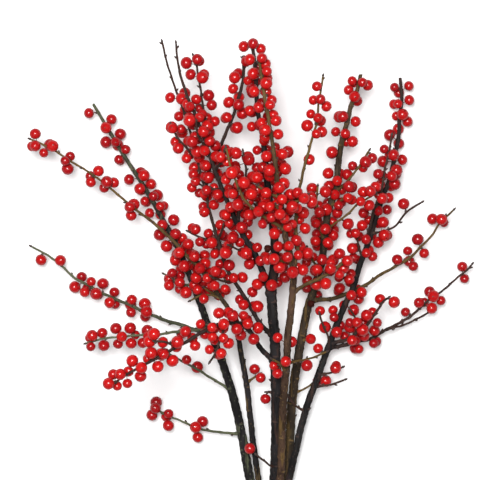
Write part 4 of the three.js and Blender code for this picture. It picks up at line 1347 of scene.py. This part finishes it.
class WINTERBERRY_OT_berries(bpy.types.Operator):
    """Hang every berry on its stalk, each a little different in size, turn and ripeness, and painted
    lighter the higher it lies
    """

    bl_idname = "winterberry.berries"
    bl_label = "Berries"

    def execute(self, context):
        """Makes one piece of berries for each stem"""
        colours = palette(context)
        skin = [colours[name] for name in ("berry", "deep_berry", "dried_berry")]
        fresh = berry_form()
        fresh.data.materials.append(berry_finish("berry_skin", *skin))
        dried = dried_form(fresh)
        every = [berry for stem in grown() for berry in stem["berries"]]
        withered = [
            min(every, key=lambda berry: math.dist(berry["at"][:2], place))
            for place in DRIED_PLACES
        ]
        stream = Stream(SEED + 4)
        for stem in grown():
            berries = []
            for berry in stem["berries"]:
                # A berry's tone is its ripeness at random, plus painted light that grows with its
                # height
                form, tone = fresh, stream.between(*BERRY_TONES) + berry["at"][2] * PAINTED_LIGHT_BY_HEIGHT
                if any(berry is other for other in withered):
                    form, tone = dried, 0.0
                tilt = np.array([stream.between(-BERRY_TILT, BERRY_TILT) for _ in range(3)])
                way = unit(berry["way"] + tilt)
                size = (berry["radius"] * MM,) * 3
                move = posed(berry["at"], way, stream.between(*ANY_TURN), size)
                berries.append(copy_of(form, move, tone=tone))
            settle(join(berries), f"{stem['name']}_berries", stem["name"])
        discard(fresh, dried)
        return {"FINISHED"}


def bundle_outline(away):
    """The line round the stems at the tie, pulled tight at a distance from their bark"""
    near = [
        sample
        for stem in grown()
        for sample in sample_limb(stem["limbs"][0])
        if abs(sample["at"][1]) < TIE_WIDTH
    ]
    corners = []
    for angle in np.radians(np.arange(0, 360, OUTLINE_STEP)):
        way = np.array((math.cos(angle), 0, math.sin(angle)))
        outer = max(near, key=lambda sample: sample["at"] @ way + sample["radius"])
        place = outer["at"] + way * (outer["radius"] + away)
        corners.append((place[0], max(place[2], away - TIE_GAP)))
    return np.array(corners)


def winding(sizes):
    """The twine's centre line round the stems, from the knot and back to it"""
    thick = sizes.twine_thickness / MM
    outline = bundle_outline(TIE_GAP + thick / 2)
    from_top = np.roll(outline, -(90 // OUTLINE_STEP), axis=0)
    loop = np.vstack([from_top] * sizes.twine_turns + [from_top[:1]])
    width = (sizes.twine_turns - 1) * thick
    heights = np.linspace(-width / 2, width / 2, len(loop))
    return np.column_stack((loop[:, 0], heights, loop[:, 1]))


def even(line, step):
    """The same line with its places at an even distance, and their lengths along it"""
    gaps = np.linalg.norm(np.diff(line, axis=0), axis=1)
    lengths = np.concatenate(([0.0], np.cumsum(gaps)))
    places = np.linspace(0, lengths[-1], max(4, int(lengths[-1] / step)))
    return np.column_stack([np.interp(places, lengths, line[:, axis]) for axis in range(3)]), places


def strands(line, thick, frayed=False):
    """Strands twisted round a line, which spread at the end of a loose piece"""
    line, lengths = even(line, STRAND_STEP)
    left = lengths[-1] - lengths
    ways = np.gradient(line, axis=0)
    ways /= np.linalg.norm(ways, axis=1)[:, None]
    side = np.cross(ways[0], UP if abs(ways[0][2]) < 0.9 else np.array((0.0, 1.0, 0.0)))
    sides = []
    for way in ways:
        side = side - way * (side @ way)
        side = side / np.linalg.norm(side)
        sides.append(side)
    sides = np.array(sides)
    over = np.cross(ways, sides)
    offset = np.full(len(line), STRAND_OFFSET * thick)
    radii = np.full(len(line), STRAND_RADIUS * thick)
    if frayed:
        offset *= 1 + FRAY_SPREAD * np.clip(1 - left / FRAY_REACH, 0, 1)
        radii *= np.interp(left, *FRAY_POINT)
    lines = []
    for strand in range(STRANDS):
        angle = 2 * math.pi * (lengths / (STRAND_PITCH * thick) + strand / STRANDS)
        around = sides * np.cos(angle)[:, None] + over * np.sin(angle)[:, None]
        lines.append(np.column_stack((line + around * offset[:, None], radii)))
    return lines


def knot_line(thick):
    """An overhand knot, drawn tight"""
    turns = np.linspace(KNOT_START, 2 * math.pi + KNOT_START, 90)
    x = np.sin(turns) + 2 * np.sin(2 * turns)
    y = np.cos(turns) - 2 * np.cos(2 * turns)
    z = -KNOT_DEPTH * np.sin(3 * turns)
    return np.column_stack((x, y, z)) * KNOT_SIZE * thick + KNOT + UP * KNOT_LIFT


class WINTERBERRY_OT_twine(bpy.types.Operator):
    """Wind the twine round the stems and knot it on top, with two loose ends"""

    bl_idname = "winterberry.twine"
    bl_label = "Twine"

    def execute(self, context):
        """Makes the tie in one piece"""
        sizes = context.scene.winterberry_sizes
        thick = sizes.twine_thickness / MM
        lines = strands(winding(sizes), thick) + strands(knot_line(thick), thick)
        for end in TWINE_ENDS:
            points = np.array(end, float)
            line = np.array([curve_point(points, share) for share in np.linspace(0, 1, 24)])
            lines += strands(line, thick, True)
        tie = tube(lines, STRAND_SIDES)
        lengths = np.concatenate([np.arange(len(line)) * STRAND_STEP for line in lines])
        around = np.abs(np.linspace(-1, 1, STRAND_SIDES, endpoint=False))
        mark(tie, "length", np.repeat(lengths, STRAND_SIDES))
        mark(tie, "around", np.tile(around, len(lengths)))
        tie.data.materials.append(twine_finish("twine_fibre", palette(context)["twine"]))
        activate(tie)
        bpy.ops.object.shade_smooth()
        settle(tie, "twine_tie", "tie")
        return {"FINISHED"}


class WINTERBERRY_OT_stage(bpy.types.Operator):
    """Set the pale floor, the soft studio light and the camera over the bunch"""

    bl_idname = "winterberry.stage"
    bl_label = "Stage"

    def execute(self, context):
        """Makes the floor, the lights and the camera"""
        deselect()
        bpy.ops.mesh.primitive_plane_add(size=FLOOR_SIZE, location=FLOOR_PLACE)
        floor = context.object
        floor.name = floor.data.name = "floor"
        floor.data.materials.append(floor_finish("pale_floor"))
        for name, place, size, power in LIGHTS:
            aim = (Vector(LIGHT_TARGET) - Vector(place)).to_track_quat("-Z", "Y").to_euler()
            bpy.ops.object.light_add(type="AREA", location=place, rotation=aim)
            light = context.object
            light.name = light.data.name = name
            light.data.energy = power
            light.data.size = size
        world = bpy.data.worlds.new("studio")
        world.use_nodes = True
        background = world.node_tree.nodes["Background"]
        background.inputs["Color"].default_value = (1, 1, 1, 1)
        background.inputs["Strength"].default_value = SKY_STRENGTH
        context.scene.world = world
        bpy.ops.object.camera_add(location=CAMERA_PLACE, rotation=(0, 0, 0))
        camera = context.object
        camera.data.lens = CAMERA_LENS
        camera.data.sensor_width = CAMERA_SENSOR
        context.scene.camera = camera
        context.scene.view_settings.view_transform = "Standard"
        return {"FINISHED"}


class WINTERBERRY_PT_bunch(bpy.types.Panel):
    """The bunch's sizes, colours and making steps"""

    bl_idname = "WINTERBERRY_PT_bunch"
    bl_label = "Winterberry bunch"
    bl_space_type = "VIEW_3D"
    bl_region_type = "UI"
    bl_category = "Winterberry"

    def draw(self, context):
        """Lists the steps, the sizes and the colours"""
        for step in STEPS:
            self.layout.operator(step.bl_idname)
        for group in (context.scene.winterberry_sizes, context.scene.winterberry_colours):
            for name in group.__annotations__:
                self.layout.prop(group, name)


STEPS = (
    WINTERBERRY_OT_wood, WINTERBERRY_OT_buds, WINTERBERRY_OT_stalks, WINTERBERRY_OT_berries,
    WINTERBERRY_OT_twine, WINTERBERRY_OT_stage,
)
CLASSES = (WinterberrySizes, WinterberryColours, *STEPS, WINTERBERRY_PT_bunch)


def register():
    """Adds the bunch's classes and properties to Blender"""
    for kind in CLASSES:
        bpy.utils.register_class(kind)
    bpy.types.Scene.winterberry_sizes = PointerProperty(type=WinterberrySizes)
    bpy.types.Scene.winterberry_colours = PointerProperty(type=WinterberryColours)


def unregister():
    """Takes them out again"""
    del bpy.types.Scene.winterberry_colours
    del bpy.types.Scene.winterberry_sizes
    for kind in reversed(CLASSES):
        bpy.utils.unregister_class(kind)


def main():
    """Makes the whole bunch and its stage"""
    register()
    bpy.ops.winterberry.wood()
    bpy.ops.winterberry.buds()
    bpy.ops.winterberry.stalks()
    bpy.ops.winterberry.berries()
    bpy.ops.winterberry.twine()
    bpy.ops.winterberry.stage()


if __name__ == "__main__":
    main()
